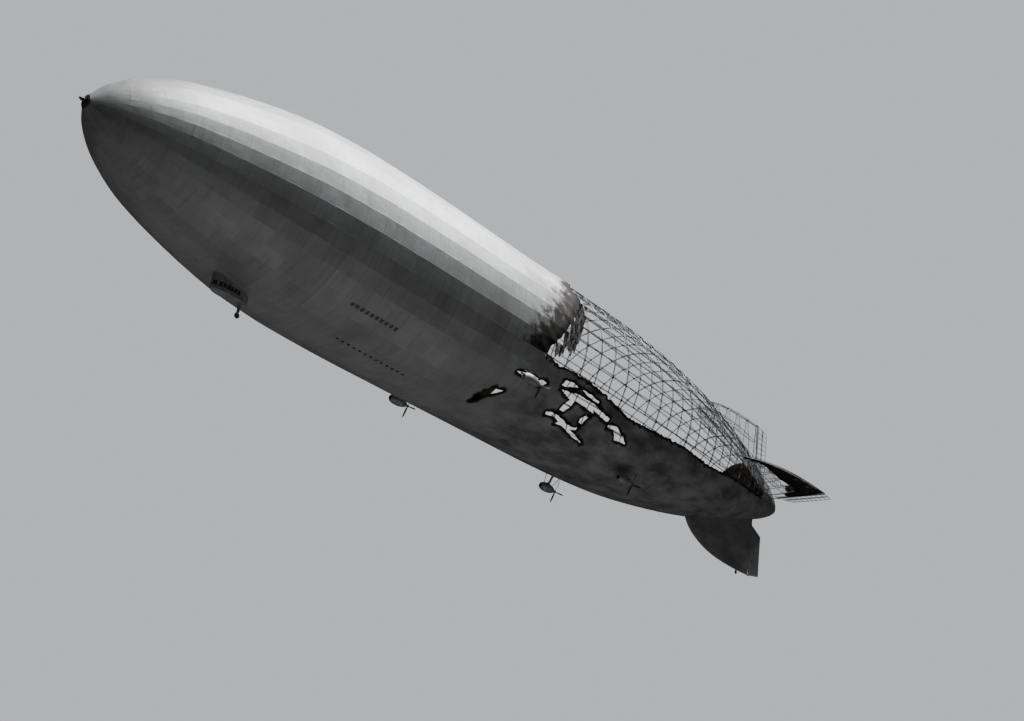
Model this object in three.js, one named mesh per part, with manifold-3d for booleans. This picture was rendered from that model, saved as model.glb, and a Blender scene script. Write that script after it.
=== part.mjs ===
// Rigid passenger airship as a 1:10 scale model: 24.5 m long, with its upper after hull burnt bare.
//
// Frame: millimetres, +X aft, -Y port, +Z up. The origin is on the hull's axis, at the centre of buoyancy.
// Lengths in the tables are metres of the full-size ship. A station is the distance aft of the bow's tip.
// Angles go round the hull in degrees: 0 is starboard, 90 the top, 180 port and 270 the bottom.

import * as THREE from "three";
import { mergeVertices } from "three/addons/utils/BufferGeometryUtils.js";
import Module from "manifold-3d";

const wasm = await Module();
wasm.setup();

// Driving dimensions

const M = 100; // model millimetres for one metre of the ship
const ORIGIN_STATION = 115; // m, centre of buoyancy
const GORES = 36; // flat panels round the hull
const GORE = 360 / GORES; // degrees
const SKIN = 10; // mm, thickness of the envelope
const GAP = 0.3; // mm, between touching pieces

// Hull profile at its rings: station and radius to a gore's corner, m.
const HULL = [
  [0, 0.7], [0.5, 1.3], [1.2, 2.15], [3, 4.5], [6, 7.16], [10, 9.69], [15, 12.05], [21, 14.05], [27, 15.67],
  [34, 17.32], [42, 18.8], [49.5, 19.6], [57, 20.14], [72, 20.55], [88.5, 20.6], [105, 20.6], [121.5, 20.6],
  [138, 20.6], [153, 20.3], [168, 19.4], [183, 17.6], [198, 15.1], [211.5, 11.9], [225, 8.2], [233.5, 5.8],
  [240, 3.4], [244, 1.3],
];

// Envelope sections closed all round: name, first and last station.
const SECTIONS = [
  ["bow_cap", 0.5, 3],
  ["tail_cone", 225, 244],
];
// Envelope sections laid in an upper and a lower half: name and stations, the last of them the burnt edge.
const HALVES = [
  ["envelope_nose", [3, 6, 10, 15, 21]],
  ["envelope_bow", [21, 27, 34, 42]],
  ["envelope_shoulder", [42, 49.5, 57]],
  ["envelope_middle", [57, 72, 88.5]],
  ["envelope_burnt", [88.5, 104.9, null]],
];

// Burnt edge of the envelope: the last station of its cover at each longitudinal.
const TEAR = {
  0: 116.5, 10: 118.2, 20: 119.6, 30: 121, 40: 119.4, 50: 120.6, 60: 119.2, 70: 121, 80: 119.8, 90: 120.8,
  100: 119.3, 110: 120.6, 120: 119.6, 130: 121.2, 140: 119.4, 150: 120.2, 160: 117.6, 170: 115.4, 180: 113.1,
  190: 110.6, 200: 108.2, 340: 109, 350: 113.4,
};
const SPLIT = 105; // m, the ring where the lower after envelope starts

// Burnt upper edges of the lower after envelope: station, port edge, starboard edge, in degrees.
const LOWER_EDGE = [
  [111, 201.2, 339.2], [114, 201.6, 338.8], [118.5, 200.6, 339.6], [121.5, 200.5, 338], [124, 200.5, 336],
  [130, 201.6, 337], [138, 205, 338.5], [143, 207.4, 335.5], [153, 206, 333], [168, 204, 336],
  [183, 206, 334], [198, 203, 338], [211.5, 202, 337], [225, 201.5, 338.5],
];
const LOWER_ENDS = [138, 168, 198, 225]; // m, the last station of each lower after section

// Holes burnt through the lower cover: outline as station, angle pairs.
const HOLES = [
  [
    [100.2, 250], [99.6, 244], [100.4, 238], [101.6, 233.6], [104.2, 232.4], [103.4, 235.4], [101.8, 239.6],
    [101.2, 247],
  ],
  [[103.8, 217.6], [108, 215.6], [112.4, 214.2], [112.8, 216], [108.4, 218], [104.2, 219.6]],
  [[118.2, 229.4], [124.6, 231.6], [129, 233.4], [133, 235.2], [132.4, 237.2], [125, 234.6], [119, 232]],
  [
    [117.4, 212.4], [123.6, 211.2], [129, 212.4], [136.6, 213.6], [136.4, 216.4], [129, 216], [125, 216.6],
    [123, 224.8], [121.6, 224.6], [122, 216.2], [117.6, 215.2],
  ],
  [[137.6, 216.8], [142, 219], [145.8, 221.6], [145.4, 224], [141, 221.8], [137.4, 219.6]],
];

// Bare frame.
const RINGS = [105, 121.5, 138, 153, 168, 183, 198, 211.5, 225]; // m, stations of the main rings
const RING_HALF = 0.15; // m, half the width of a ring's girder
const LONG_HALF = 0.13; // m, half the width of a longitudinal girder
const GIRDER = 34; // mm, depth of the girders under the skin
const BARE = [-20, 200]; // degrees, where every longitudinal is kept
const KEEL = [220, 240, 260, 270, 280, 300, 320]; // degrees, longitudinals kept under the lower cover

const CELL_WALL_STATION = 102.4; // m, end wall of the last whole gas cell
const CELL_WALL_BULGE = 1.6; // m

// Control car: half width of its plan at each station, m.
const CAR_PLAN = [
  [33.9, 0.2], [34.3, 0.62], [35.1, 1.0], [36.4, 1.22], [38.6, 1.25], [40.4, 1.12], [41.7, 0.8], [42.8, 0.25],
];
const CAR_BOTTOM = -20.8; // m, underside below the axis
const CAR_TOP = -16.2; // m, before it is cut to the hull
const CAR_WALL = 6; // mm
const CAR_SILL = -19.75; // m, window band
const CAR_HEAD = -18.95;
const CAR_WINDOWS = [35.35, 36.2, 37.05, 37.9, 38.75, 39.6]; // m, middles of the side windows
const CAR_WINDOW = 0.68; // m, their width

// Landing wheel under the car, and tail wheel under the lower fin, m.
const WHEELS = {
  landing: { station: 41.1, z: -23.1, radius: 0.56, width: 0.34 },
  tail: { station: 226.4, z: -22.95, radius: 0.48, width: 0.3 },
};

// Engine cars: name, station, angle round the hull.
const ENGINE_CARS = [
  ["fwd_port", 105, 217],
  ["fwd_stbd", 105, 323],
  ["aft_port", 153, 241],
  ["aft_stbd", 153, 299],
];
const CAR_OFFSET = 3.15; // m, from the hull to a car's axis
// Outline of an engine car: distance aft of its nose and radius, m.
const POD = [
  [0, 0.46], [0.15, 0.68], [0.7, 0.95], [1.8, 1.12], [3.2, 1.06], [4.5, 0.78], [5.65, 0.3],
];
const POD_WALL = 6; // mm
const POD_SIDES = 14;
const POD_ORIGIN = 2.4; // m aft of its nose, the point placed at the station
const ENGINE = { length: 2.69, width: 1.02, height: 1.36, x: -0.1, z: 0 }; // m
const PROP = { hub: 0.24, blades: 4, shaft: 0.12, x: 3.62 }; // m, x aft of the pod's origin
const PROP_BLADE = [
  // distance from the axis, chord and thickness in m, pitch in degrees
  [0.16, 0.26, 0.17, 62], [1.1, 0.42, 0.12, 42], [2.3, 0.36, 0.06, 25], [2.95, 0.1, 0.03, 20],
];

// Fins: outer edge as station and distance from the axis, with half the thickness at the root, m.
const FIN = [
  [198.4, 15.35, 0.14], [200.5, 17.3, 0.6], [204.5, 19.3, 1.05], [210.5, 21, 1.5], [218, 21.9, 1.75],
  [226, 22.2, 1.45], [232.6, 22.2, 0.62],
];
const FIN_SPAN = [[-0.6, 1], [0, 1], [0.6, 0.68], [1, 0.16]]; // share of the span, share of the thickness
const FIN_SKIN = 9; // mm
// Frame bays of a bare fin: spars at these stations, ribs at these shares of the span.
const FIN_SPARS = [201.6, 206.2, 210.8, 216.2, 221.6, 227, 232.3];
const FIN_RIBS = [0.02, 0.34, 0.66, 0.965];
const FIN_BAR = 0.26; // m, width of a fin's girders
// Tail surfaces: name, angle round the hull, what is left of the fin's cover and of its control surface's.
const TAIL = [
  ["upper", 90, "bare", "bare", "rudder"],
  ["port", 180, "edge", "bare", "elevator"],
  ["lower", 270, "whole", "whole", "rudder"],
  ["stbd", 0, "whole", "whole", "elevator"],
];
const HINGE = 233.42; // m, station of the control surfaces' hinge line
// Control surface: reach of its ends at the hinge and aft, last station, nose radius and half its edge, m.
const CONTROL = {
  inner: 7.7, innerAft: 9.6, outer: 22.05, outerAft: 21.2, aft: 238.6, nose: 0.25, edge: 0.04,
};
const PIN = { radius: 6, hole: 6.5, length: 22 }; // mm
const LUG = { thick: 12, half: 13, clear: 5.3 }; // mm

const COLOURS = {
  cover: [0x8f9294, 0.55, 0.35],
  coverBurnt: [0x4c4b49, 0.8, 0.1],
  frame: [0x3b3c3f, 0.6, 0.6],
  cell: [0xb9ae94, 0.8, 0],
  car: [0x85888b, 0.5, 0.4],
  glass: [0x20262b, 0.1, 0.2],
  engine: [0x2b2c2e, 0.6, 0.6],
  wood: [0x3a2a1c, 0.5, 0],
  metal: [0x55585b, 0.4, 0.9],
  rubber: [0x141414, 0.9, 0],
};

// Geometry helpers

const rad = THREE.MathUtils.degToRad;
const X = (station) => (station - ORIGIN_STATION) * M;

// Radius of the hull's corners at a station, m.
function hullRadius(station) {
  const i = Math.max(1, HULL.findIndex(([s]) => s >= station));
  const [s0, r0] = HULL[i - 1];
  const [s1, r1] = HULL[i];
  return r0 + ((r1 - r0) * (station - s0)) / (s1 - s0);
}

// Radius in mm of the faceted hull, at a depth in mm below its surface.
function facetRadius(station, angle, depth = 0) {
  const inGore = (((angle % GORE) + GORE) % GORE) - GORE / 2;
  return ((hullRadius(station) * M - depth) * Math.cos(rad(GORE / 2))) / Math.cos(rad(inGore));
}

function onHull(station, angle, depth = 0) {
  const r = facetRadius(station, angle, depth);
  return [X(station), r * Math.cos(rad(angle)), r * Math.sin(rad(angle))];
}

// A closed geometry as a solid, turned to face outwards.
function solid(geometry, matrix) {
  const flat = new THREE.BufferGeometry().setAttribute("position", geometry.getAttribute("position").clone());
  if (geometry.index) flat.setIndex(geometry.index.clone());
  if (matrix) flat.applyMatrix4(matrix);
  const merged = mergeVertices(flat, 1e-3);
  const vertProperties = merged.attributes.position.array;
  const make = (triVerts) => new wasm.Manifold(new wasm.Mesh({ numProp: 3, vertProperties, triVerts }));
  const tris = new Uint32Array(merged.index.array).filter((_, k, all) => {
    const t = k - (k % 3);
    return all[t] !== all[t + 1] && all[t + 1] !== all[t + 2] && all[t] !== all[t + 2];
  });
  const made = make(tris);
  if (made.volume() >= 0) return made;
  for (let i = 0; i < tris.length; i += 3) {
    [tris[i + 1], tris[i + 2]] = [tris[i + 2], tris[i + 1]];
  }
  return make(tris);
}

function geometryOf(made) {
  const mesh = made.getMesh();
  return new THREE.BufferGeometry()
    .setAttribute("position", new THREE.BufferAttribute(new Float32Array(mesh.vertProperties), 3))
    .setIndex(new THREE.BufferAttribute(new Uint32Array(mesh.triVerts), 1));
}

function geometryFrom(points, triangles) {
  return new THREE.BufferGeometry()
    .setAttribute("position", new THREE.Float32BufferAttribute(points.flat(), 3))
    .setIndex(triangles.flat());
}

// Sheet with a thickness over a grid of cells. place(row, column, side) gives a point of the outer (0) or
// inner (1) side, and keep(row, column) says which cells are there. Closed columns meet round the hull.
function sheet(rows, columns, closed, place, keep) {
  const count = rows * columns;
  const points = [];
  for (const side of [0, 1])
    for (let i = 0; i < rows; i++)
      for (let j = 0; j < columns; j++) points.push(place(i, j, side));
  const cells = closed ? columns : columns - 1;
  const at = (i, j, side) => side * count + i * columns + (j % columns);
  const kept = (i, j) => {
    if (i < 0 || i >= rows - 1) return false;
    if (closed) j = (j + columns) % columns;
    return j >= 0 && j < cells && keep(i, j);
  };
  const triangles = [];
  const quad = (a, b, c, d) => triangles.push([a, b, c], [a, c, d]);
  for (let i = 0; i < rows - 1; i++)
    for (let j = 0; j < cells; j++) {
      if (!kept(i, j)) continue;
      quad(at(i, j, 0), at(i, j + 1, 0), at(i + 1, j + 1, 0), at(i + 1, j, 0));
      quad(at(i, j, 1), at(i + 1, j, 1), at(i + 1, j + 1, 1), at(i, j + 1, 1));
      if (!kept(i - 1, j)) quad(at(i, j, 0), at(i, j, 1), at(i, j + 1, 1), at(i, j + 1, 0));
      if (!kept(i + 1, j)) quad(at(i + 1, j, 0), at(i + 1, j + 1, 0), at(i + 1, j + 1, 1), at(i + 1, j, 1));
      if (!kept(i, j - 1)) quad(at(i, j, 0), at(i + 1, j, 0), at(i + 1, j, 1), at(i, j, 1));
      if (!kept(i, j + 1)) quad(at(i, j + 1, 0), at(i, j + 1, 1), at(i + 1, j + 1, 1), at(i + 1, j + 1, 0));
    }
  return geometryFrom(points, triangles);
}

// Closed solid through a row of like loops of points.
function loft(loops) {
  const n = loops[0].length;
  const triangles = [];
  for (let k = 0; k < loops.length - 1; k++)
    for (let i = 0; i < n; i++) {
      const [a, b] = [k * n + i, k * n + ((i + 1) % n)];
      triangles.push([a, b, b + n], [a, b + n, a + n]);
    }
  const last = (loops.length - 1) * n;
  const shape = THREE.ShapeUtils.triangulateShape(flatten(loops[0]), []);
  const shapeEnd = THREE.ShapeUtils.triangulateShape(flatten(loops.at(-1)), []);
  for (const [a, b, c] of shape) triangles.push([c, b, a]);
  for (const [a, b, c] of shapeEnd) triangles.push([last + a, last + b, last + c]);
  return geometryFrom(loops.flat(), triangles);
}

// A loop of points seen square to its own plane, anticlockwise.
function flatten(loop) {
  const points = loop.map((p) => new THREE.Vector3(...p));
  const normal = new THREE.Vector3();
  points.forEach((p, i) => {
    const q = points[(i + 1) % points.length];
    normal.x += (p.y - q.y) * (p.z + q.z);
    normal.y += (p.z - q.z) * (p.x + q.x);
    normal.z += (p.x - q.x) * (p.y + q.y);
  });
  normal.normalize();
  const off = Math.abs(normal.x) < 0.8 ? new THREE.Vector3(1, 0, 0) : new THREE.Vector3(0, 1, 0);
  const u = off.cross(normal).normalize();
  const v = new THREE.Vector3().crossVectors(normal, u);
  return points.map((p) => new THREE.Vector2(p.dot(u), p.dot(v)));
}

// Box between two corners.
function box(x0, x1, y0, y1, z0, z1) {
  const middle = [(x0 + x1) / 2, (y0 + y1) / 2, (z0 + z1) / 2];
  return new THREE.BoxGeometry(x1 - x0, y1 - y0, z1 - z0).translate(...middle);
}

// Round bar between two points.
function bar(from, to, radius, sides = 10) {
  const [a, b] = [new THREE.Vector3(...from), new THREE.Vector3(...to)];
  const way = b.clone().sub(a).normalize();
  const turn = new THREE.Quaternion().setFromUnitVectors(new THREE.Vector3(0, 1, 0), way);
  const middle = a.clone().add(b).multiplyScalar(0.5);
  return new THREE.CylinderGeometry(radius, radius, a.distanceTo(b), sides).applyMatrix4(
    new THREE.Matrix4().compose(middle, turn, new THREE.Vector3(1, 1, 1)),
  );
}

// Profile of axial place and radius in mm, spun about the X axis.
function spin(profile, sides) {
  const points = profile.map(([x, r]) => new THREE.Vector2(r, x));
  return new THREE.LatheGeometry(points, sides).rotateZ(-Math.PI / 2);
}

const root = new THREE.Group();

function add(name, geometry, colour, parent = root) {
  const [hex, roughness, metalness] = COLOURS[colour];
  const material = new THREE.MeshStandardMaterial({ color: hex, roughness, metalness, flatShading: true });
  const mesh = new THREE.Mesh(geometry, material);
  mesh.name = name;
  parent.add(mesh);
  return mesh;
}

// The whole hull as a solid, grown or shrunk, to cut what stands on it.
function hullSolid(depth, from, to) {
  const stations = [from, ...HULL.map(([s]) => s).filter((s) => s > from && s < to), to];
  const profile = [[X(from), 0], ...stations.map((s) => [X(s), hullRadius(s) * M - depth]), [X(to), 0]];
  return solid(spin(profile, GORES));
}

// Envelope

// Closed sections, each a tube of flat gores from ring to ring.
for (const [name, from, to] of SECTIONS) {
  const stations = [from, ...HULL.map(([s]) => s).filter((s) => s > from && s < to), to];
  const outer = stations.map((s) => [X(s), hullRadius(s) * M]);
  outer.at(-1)[0] -= GAP;
  const inner = outer.map(([x, r]) => [x, r - SKIN]).reverse();
  add(name, geometryOf(solid(spin([...outer, ...inner, outer[0]], GORES))), "cover");
}

const holeCutters = HOLES.map((outline) =>
  solid(loft([-40, 40].map((depth) => outline.map(([s, a]) => onHull(s, a, depth))))),
);

function cutHoles(made) {
  return holeCutters.reduce((rest, cutter) => rest.subtract(cutter), made);
}

const tearAt = (angle) => {
  const a = ((angle % 360) + 360) % 360;
  const low = Math.floor(a / GORE) * GORE;
  const [e0, e1] = [low, (low + GORE) % 360].map((k) => TEAR[k] ?? SPLIT);
  return e0 + ((e1 - e0) * (a - low)) / GORE;
};

// Halved sections, from ring to ring, the last one as far as the burnt edge.
for (const [name, stations] of HALVES)
  for (const [half, start] of [["upper", 0], ["lower", 180]]) {
    const columns = GORES / 2 + 1;
    const laid = sheet(
      stations.length,
      columns,
      false,
      (i, j, side) => {
        const angle = start + j * GORE;
        const [x, y, z] = onHull(stations[i] ?? tearAt(angle), angle, side * SKIN);
        const seam = half === "lower" && (j === 0 || j === columns - 1);
        const joint = i === stations.length - 1 && stations[i] !== null;
        return [joint ? x - GAP : x, y, seam ? z - GAP : z];
      },
      () => true,
    );
    add(`${name}_${half}`, geometryOf(cutHoles(solid(laid))), "cover");
  }

// Lower after sections, together a trough whose upper edges are burnt away.
const lowerRows = [[SPLIT, 201.2, 339.2], [107, 201.2, 339.2], ...LOWER_EDGE];
const lowerColumns = 15;
let lowerStart = 0;
LOWER_ENDS.forEach((end, section) => {
  const lowerEnd = lowerRows.findIndex(([s]) => s === end);
  const [first, rows] = [lowerStart, lowerEnd - lowerStart + 1];
  const laid = sheet(
    rows,
    lowerColumns,
    false,
    (k, j, side) => {
      const i = first + k;
      const [row, port, stbd] = lowerRows[i];
      const angle = j === 0 ? port : j === lowerColumns - 1 ? stbd : 200 + j * GORE;
      const start = i === 0 ? tearAt(angle) + GAP / M : i === 1 ? Math.max(row, tearAt(angle) + 0.6) : row;
      const [x, y, z] = onHull(start, angle, side * SKIN);
      return [k === rows - 1 ? x - GAP : x, y, z];
    },
    () => true,
  );
  add(`envelope_lower_${section + 1}`, geometryOf(cutHoles(solid(laid))), "coverBurnt");
  lowerStart = lowerEnd;
});

// End wall of the last whole gas cell, a bulging disc of cloth.
const wallRadius = hullRadius(CELL_WALL_STATION) * M - SKIN - GAP;
const wallShape = [1, 0.85, 0.6, 0.3, 0].map((f) => [
  X(CELL_WALL_STATION) + CELL_WALL_BULGE * M * (1 - f * f),
  f * wallRadius,
]);
const wallBack = wallShape.map(([x, r]) => [x - SKIN, r]).reverse();
add("gas_cell_wall", geometryOf(solid(spin([...wallShape, ...wallBack, wallShape[0]], GORES))), "cell");

// Mooring cone on the bow, and the cap that closes the tail cone.
const coneProfile = [
  [X(-1), 0], [X(-1), 18], [X(-0.5), 32], [X(-0.1), 42], [X(0.1), 70], [X(0.5) - GAP, 128],
  [X(0.5) - GAP, 100], [X(0.75), 100], [X(0.75), 0],
];
add("mooring_cone", geometryOf(solid(spin(coneProfile, GORES / 2))), "metal");
const capProfile = [
  [X(243.7), 0], [X(243.7), 110], [X(244), 110], [X(244), 130], [X(244.6), 86], [X(245), 0],
];
add("tail_cap", geometryOf(solid(spin(capProfile, GORES / 2))), "cover");

// Bare frame of the after hull

const longitudinals = Array.from({ length: GORES }, (_, k) => k * GORE).map((a) => ({
  angle: a,
  kept: a <= BARE[1] || a >= 360 + BARE[0] || KEEL.includes(a),
}));
const frameColumns = longitudinals.flatMap(({ angle, kept }) =>
  kept
    ? [{ angle, shift: -1, kept: true }, { angle, shift: 1, kept: false }]
    : [{ angle, shift: 0, kept: false }],
);
// Each bay of the frame is its forward ring with the longitudinals back to the next one.
for (let k = 0; k < RINGS.length - 1; k++) {
  const [ring, next] = [RINGS[k], RINGS[k + 1]];
  const last = k === RINGS.length - 2;
  const rows = [ring - RING_HALF, ring + RING_HALF, next - RING_HALF, ...(last ? [next] : [])];
  const bay = sheet(
    rows.length,
    frameColumns.length,
    true,
    (i, j, side) => {
      const { angle, shift } = frameColumns[j];
      const half = (shift * LONG_HALF * 180) / (Math.PI * hullRadius(rows[i]));
      const [x, y, z] = onHull(rows[i], angle + half, SKIN + GAP + side * GIRDER);
      return [i === rows.length - 1 ? x - GAP : x, y, z];
    },
    (i, j) => i !== 1 || frameColumns[j].kept,
  );
  add(`stern_frame_${k + 1}`, geometryOf(solid(bay)), "frame");
}

// Control car

const hullSkin = hullSolid(-GAP, 20, 244);
const plan = (inset, low, high) => {
  const side = CAR_PLAN.map(([s, half], k) => {
    const end = k === 0 ? inset : k === CAR_PLAN.length - 1 ? -inset : 0;
    return [X(s) + end, Math.max(half * M - inset, 6)];
  });
  const outline = [...side.map(([x, y]) => [x, y]), ...side.map(([x, y]) => [x, -y]).reverse()];
  return solid(loft([outline.map(([x, y]) => [x, y, low]), outline.map(([x, y]) => [x, y, high])]));
};
const carZ = { bottom: CAR_BOTTOM * M, top: CAR_TOP * M, sill: CAR_SILL * M, head: CAR_HEAD * M };
const carInside = plan(CAR_WALL, carZ.bottom + CAR_WALL, carZ.top + 50);
let car = plan(0, carZ.bottom, carZ.top).subtract(carInside).subtract(hullSkin);
for (const s of CAR_WINDOWS) {
  const [x0, x1] = [X(s - CAR_WINDOW / 2), X(s + CAR_WINDOW / 2)];
  car = car.subtract(solid(box(x0, x1, -300, 300, carZ.sill, carZ.head)));
}
car = car.subtract(solid(box(X(33.5), X(34.6), -44, 44, carZ.sill, carZ.head)));
add("control_car", geometryOf(car), "car");

const glassOuter = plan(CAR_WALL + GAP, carZ.sill - 12, carZ.head + 8);
const glassInner = plan(CAR_WALL + GAP + 2, carZ.sill - 40, carZ.head + 40);
add("control_car_glass", geometryOf(glassOuter.subtract(glassInner).subtract(hullSkin)), "glass");

// Helms: a spoked wheel on a pedestal that stands on the car's floor.
const helms = [
  // name, station, offset in mm, turn about Z in degrees
  ["rudder_helm", 35.2, 0, 0],
  ["elevator_helm", 36.6, -52, 90],
];
for (const [name, station, y, turn] of helms) {
  const floor = carZ.bottom + CAR_WALL + GAP;
  const group = new THREE.Group();
  group.position.set(X(station), y, floor);
  group.rotation.z = rad(turn);
  const wheel = solid(new THREE.TorusGeometry(34, 3.5, 5, 12).rotateY(Math.PI / 2).translate(14, 0, 78));
  let helm = wheel.add(solid(box(-14, 6, -12, 12, 0, 96)));
  helm = helm.add(solid(bar([-2, 0, 78], [17, 0, 78], 8, 8)));
  for (const a of [0, 60, 120]) {
    const [y0, z0] = [33 * Math.cos(rad(a)), 33 * Math.sin(rad(a))];
    helm = helm.add(solid(bar([14, -y0, 78 - z0], [14, y0, 78 + z0], 2.5, 4)));
  }
  add(name, geometryOf(helm), "metal", group);
  root.add(group);
}

// Landing gear

function wheelGeometry({ radius, width }) {
  const [r, w] = [radius * M, (width * M) / 2];
  const bore = 6.4;
  const profile = [
    [-w * 0.7, bore], [-w * 0.7, r * 0.5], [-w, r * 0.62], [-w, r * 0.86], [-w * 0.55, r], [w * 0.55, r],
    [w, r * 0.86], [w, r * 0.62], [w * 0.7, r * 0.5], [w * 0.7, bore],
  ];
  return spin([...profile, profile[0]], 20).rotateZ(Math.PI / 2);
}

function forkSolid({ radius, width }, rise) {
  const [r, w] = [radius * M, (width * M) / 2];
  let fork = solid(bar([0, -w - 13, 0], [0, w + 13, 0], 6, 16));
  for (const side of [-1, 1]) {
    const y = side * (w + 9);
    fork = fork.add(solid(box(-11, 11, y - 4, y + 4, -12, r + 26)));
  }
  fork = fork.add(solid(box(-16, 16, -w - 13, w + 13, r + 12, r + 28)));
  const leg = [
    [-34, 0], [-20, 15], [10, 17], [40, 8], [58, 0], [40, -8], [10, -17], [-20, -15],
  ];
  const foot = leg.map(([x, y]) => [x * 0.7, y * 0.8, r + 20]);
  const head = leg.map(([x, y]) => [x, y, rise]);
  return fork.add(solid(loft([foot, head])));
}

const landing = WHEELS.landing;
const landingGroup = new THREE.Group();
landingGroup.position.set(X(landing.station), 0, landing.z * M);
add("landing_wheel", wheelGeometry(landing), "rubber", landingGroup);
add("landing_leg", geometryOf(forkSolid(landing, carZ.bottom - landing.z * M - GAP)), "car", landingGroup);
root.add(landingGroup);

const tail = WHEELS.tail;
const tailGroup = new THREE.Group();
tailGroup.position.set(X(tail.station), 0, tail.z * M);
add("tail_wheel", wheelGeometry(tail), "rubber", tailGroup);
root.add(tailGroup);

// Engine cars

const podOuter = POD.map(([x, r]) => [(x - POD_ORIGIN) * M, r * M]);
const podInner = podOuter.map(([x, r]) => [x, r - POD_WALL]).reverse();
podInner[0][1] = PROP.shaft * M + 0.4;
const engineBox = {
  x0: (ENGINE.x - ENGINE.length / 2) * M,
  x1: (ENGINE.x + ENGINE.length / 2) * M,
  y: (ENGINE.width / 2) * M,
  z0: (ENGINE.z - ENGINE.height / 2) * M,
  z1: (ENGINE.z + ENGINE.height / 2) * M,
};
// The whole space within a car's outline, grown or shrunk.
const podSolid = (grow) => {
  const wall = podOuter.map(([x, r]) => [x, r + grow]);
  return solid(spin([[podOuter[0][0], 0], ...wall, [podOuter.at(-1)[0], 0]], POD_SIDES));
};
const podSpace = podSolid(-2);
const podSkin = podSolid(GAP);

for (const [name, station, angle] of ENGINE_CARS) {
  const distance = hullRadius(station) * M + CAR_OFFSET * M;
  const group = new THREE.Group();
  group.position.set(X(station), distance * Math.cos(rad(angle)), distance * Math.sin(rad(angle)));
  root.add(group);

  // Teardrop shell, open at the radiator in its nose, with two bearers for the engine.
  let pod = solid(spin([...podOuter, ...podInner, podOuter[0]], POD_SIDES));
  const { x0: engineFront, x1: engineBack, y: engineSide, z0: engineFoot, z1: engineTop } = engineBox;
  for (const x of [-92, 96]) {
    const bearer = solid(box(x - 9, x + 9, -105, 105, engineFoot - 16, engineFoot - GAP));
    pod = pod.add(bearer.intersect(podSpace));
  }
  add(`engine_car_${name}`, geometryOf(pod), "car", group);
  const block = box(engineFront, engineBack, -engineSide, engineSide, engineFoot, engineTop);
  add(`engine_${name}`, block, "engine", group);

  // Four-bladed pusher propeller on its shaft.
  const [hubX, hubR, shaftR] = [PROP.x * M, PROP.hub * M, PROP.shaft * M];
  const hub = [
    [engineBack + GAP, 0], [engineBack + GAP, shaftR], [hubX - 26, shaftR], [hubX - 26, hubR],
    [hubX + 14, hubR], [hubX + 42, hubR * 0.45], [hubX + 48, 0],
  ];
  let propeller = solid(spin(hub, 12));
  for (let k = 0; k < PROP.blades; k++) {
    const loops = PROP_BLADE.map(([r, chord, thick, pitch]) => {
      const [c, t, p] = [(chord * M) / 2, (thick * M) / 2, rad(pitch)];
      const section = [
        [-c, 0], [-c * 0.5, t * 0.9], [c * 0.3, t], [c, 0], [c * 0.3, -t * 0.6], [-c * 0.5, -t * 0.6],
      ];
      return section.map(([u, v]) => [
        u * Math.sin(p) + v * Math.cos(p),
        u * Math.cos(p) - v * Math.sin(p),
        r * M,
      ]);
    });
    const turn = new THREE.Matrix4()
      .makeTranslation(PROP.x * M - 6, 0, 0)
      .multiply(new THREE.Matrix4().makeRotationX((k * 2 * Math.PI) / PROP.blades + rad(24)));
    propeller = propeller.add(solid(loft(loops), turn));
  }
  add(`propeller_${name}`, geometryOf(propeller), "wood", group);

  // Strut set: a saddle over the car, four legs and a ladder fairing, out to the hull.
  const inward = new THREE.Vector3(0, -Math.cos(rad(angle)), -Math.sin(rad(angle)));
  const across = new THREE.Vector3(0, -inward.z, inward.y);
  const at = (x, u, v) =>
    new THREE.Vector3(x, 0, 0).addScaledVector(inward, u).addScaledVector(across, v).toArray();
  const saddleRadius = 1.12 * M;
  const saddleProfile = [
    [-58, saddleRadius - 10], [-58, saddleRadius + 9], [50, saddleRadius + 6], [50, saddleRadius - 10],
  ];
  const farCorners = [[-160, -160], [40, -160], [40, 160], [-160, 160]];
  const farHalf = [-80, 80].map((x) => farCorners.map(([u, v]) => at(x, u, v)));
  let struts = solid(spin([...saddleProfile, saddleProfile[0]], POD_SIDES)).subtract(solid(loft(farHalf)));
  const feet = [[-50, 90, -150, 100], [-50, -90, -150, -100], [42, 90, 150, 100], [42, -90, 150, -100]];
  for (const [x0, v0, x1, v1] of feet) {
    const u0 = Math.sqrt((saddleRadius + 6) ** 2 - v0 ** 2);
    struts = struts.add(solid(bar(at(x0, u0, v0), at(x1, CAR_OFFSET * M + 60, v1), 8, 6)));
  }
  const ladder = [[-38, 0], [-22, 13], [12, 15], [46, 0], [12, -15], [-22, -13]];
  struts = struts.add(
    solid(loft([saddleRadius + 4, CAR_OFFSET * M + 60].map((u) => ladder.map(([x, v]) => at(x, u, v))))),
  );
  const hullHere = hullSkin.translate([-group.position.x, -group.position.y, -group.position.z]);
  add(`struts_${name}`, geometryOf(struts.subtract(hullHere).subtract(podSkin)), "metal", group);
}

// Tail surfaces

const spanAt = (table, key, column) => {
  const i = Math.max(1, table.findIndex(([k]) => k >= key));
  const [a, b] = [table[Math.min(i, table.length - 1) - 1], table[Math.min(i, table.length - 1)]];
  return a[column] + ((b[column] - a[column]) * (key - a[0])) / (b[0] - a[0]);
};
// Distance from the axis of a point at a share of a fin's span, m.
const finReach = (station, share) => {
  const base = hullRadius(station);
  return base + (spanAt(FIN, station, 1) - base) * share;
};

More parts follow.
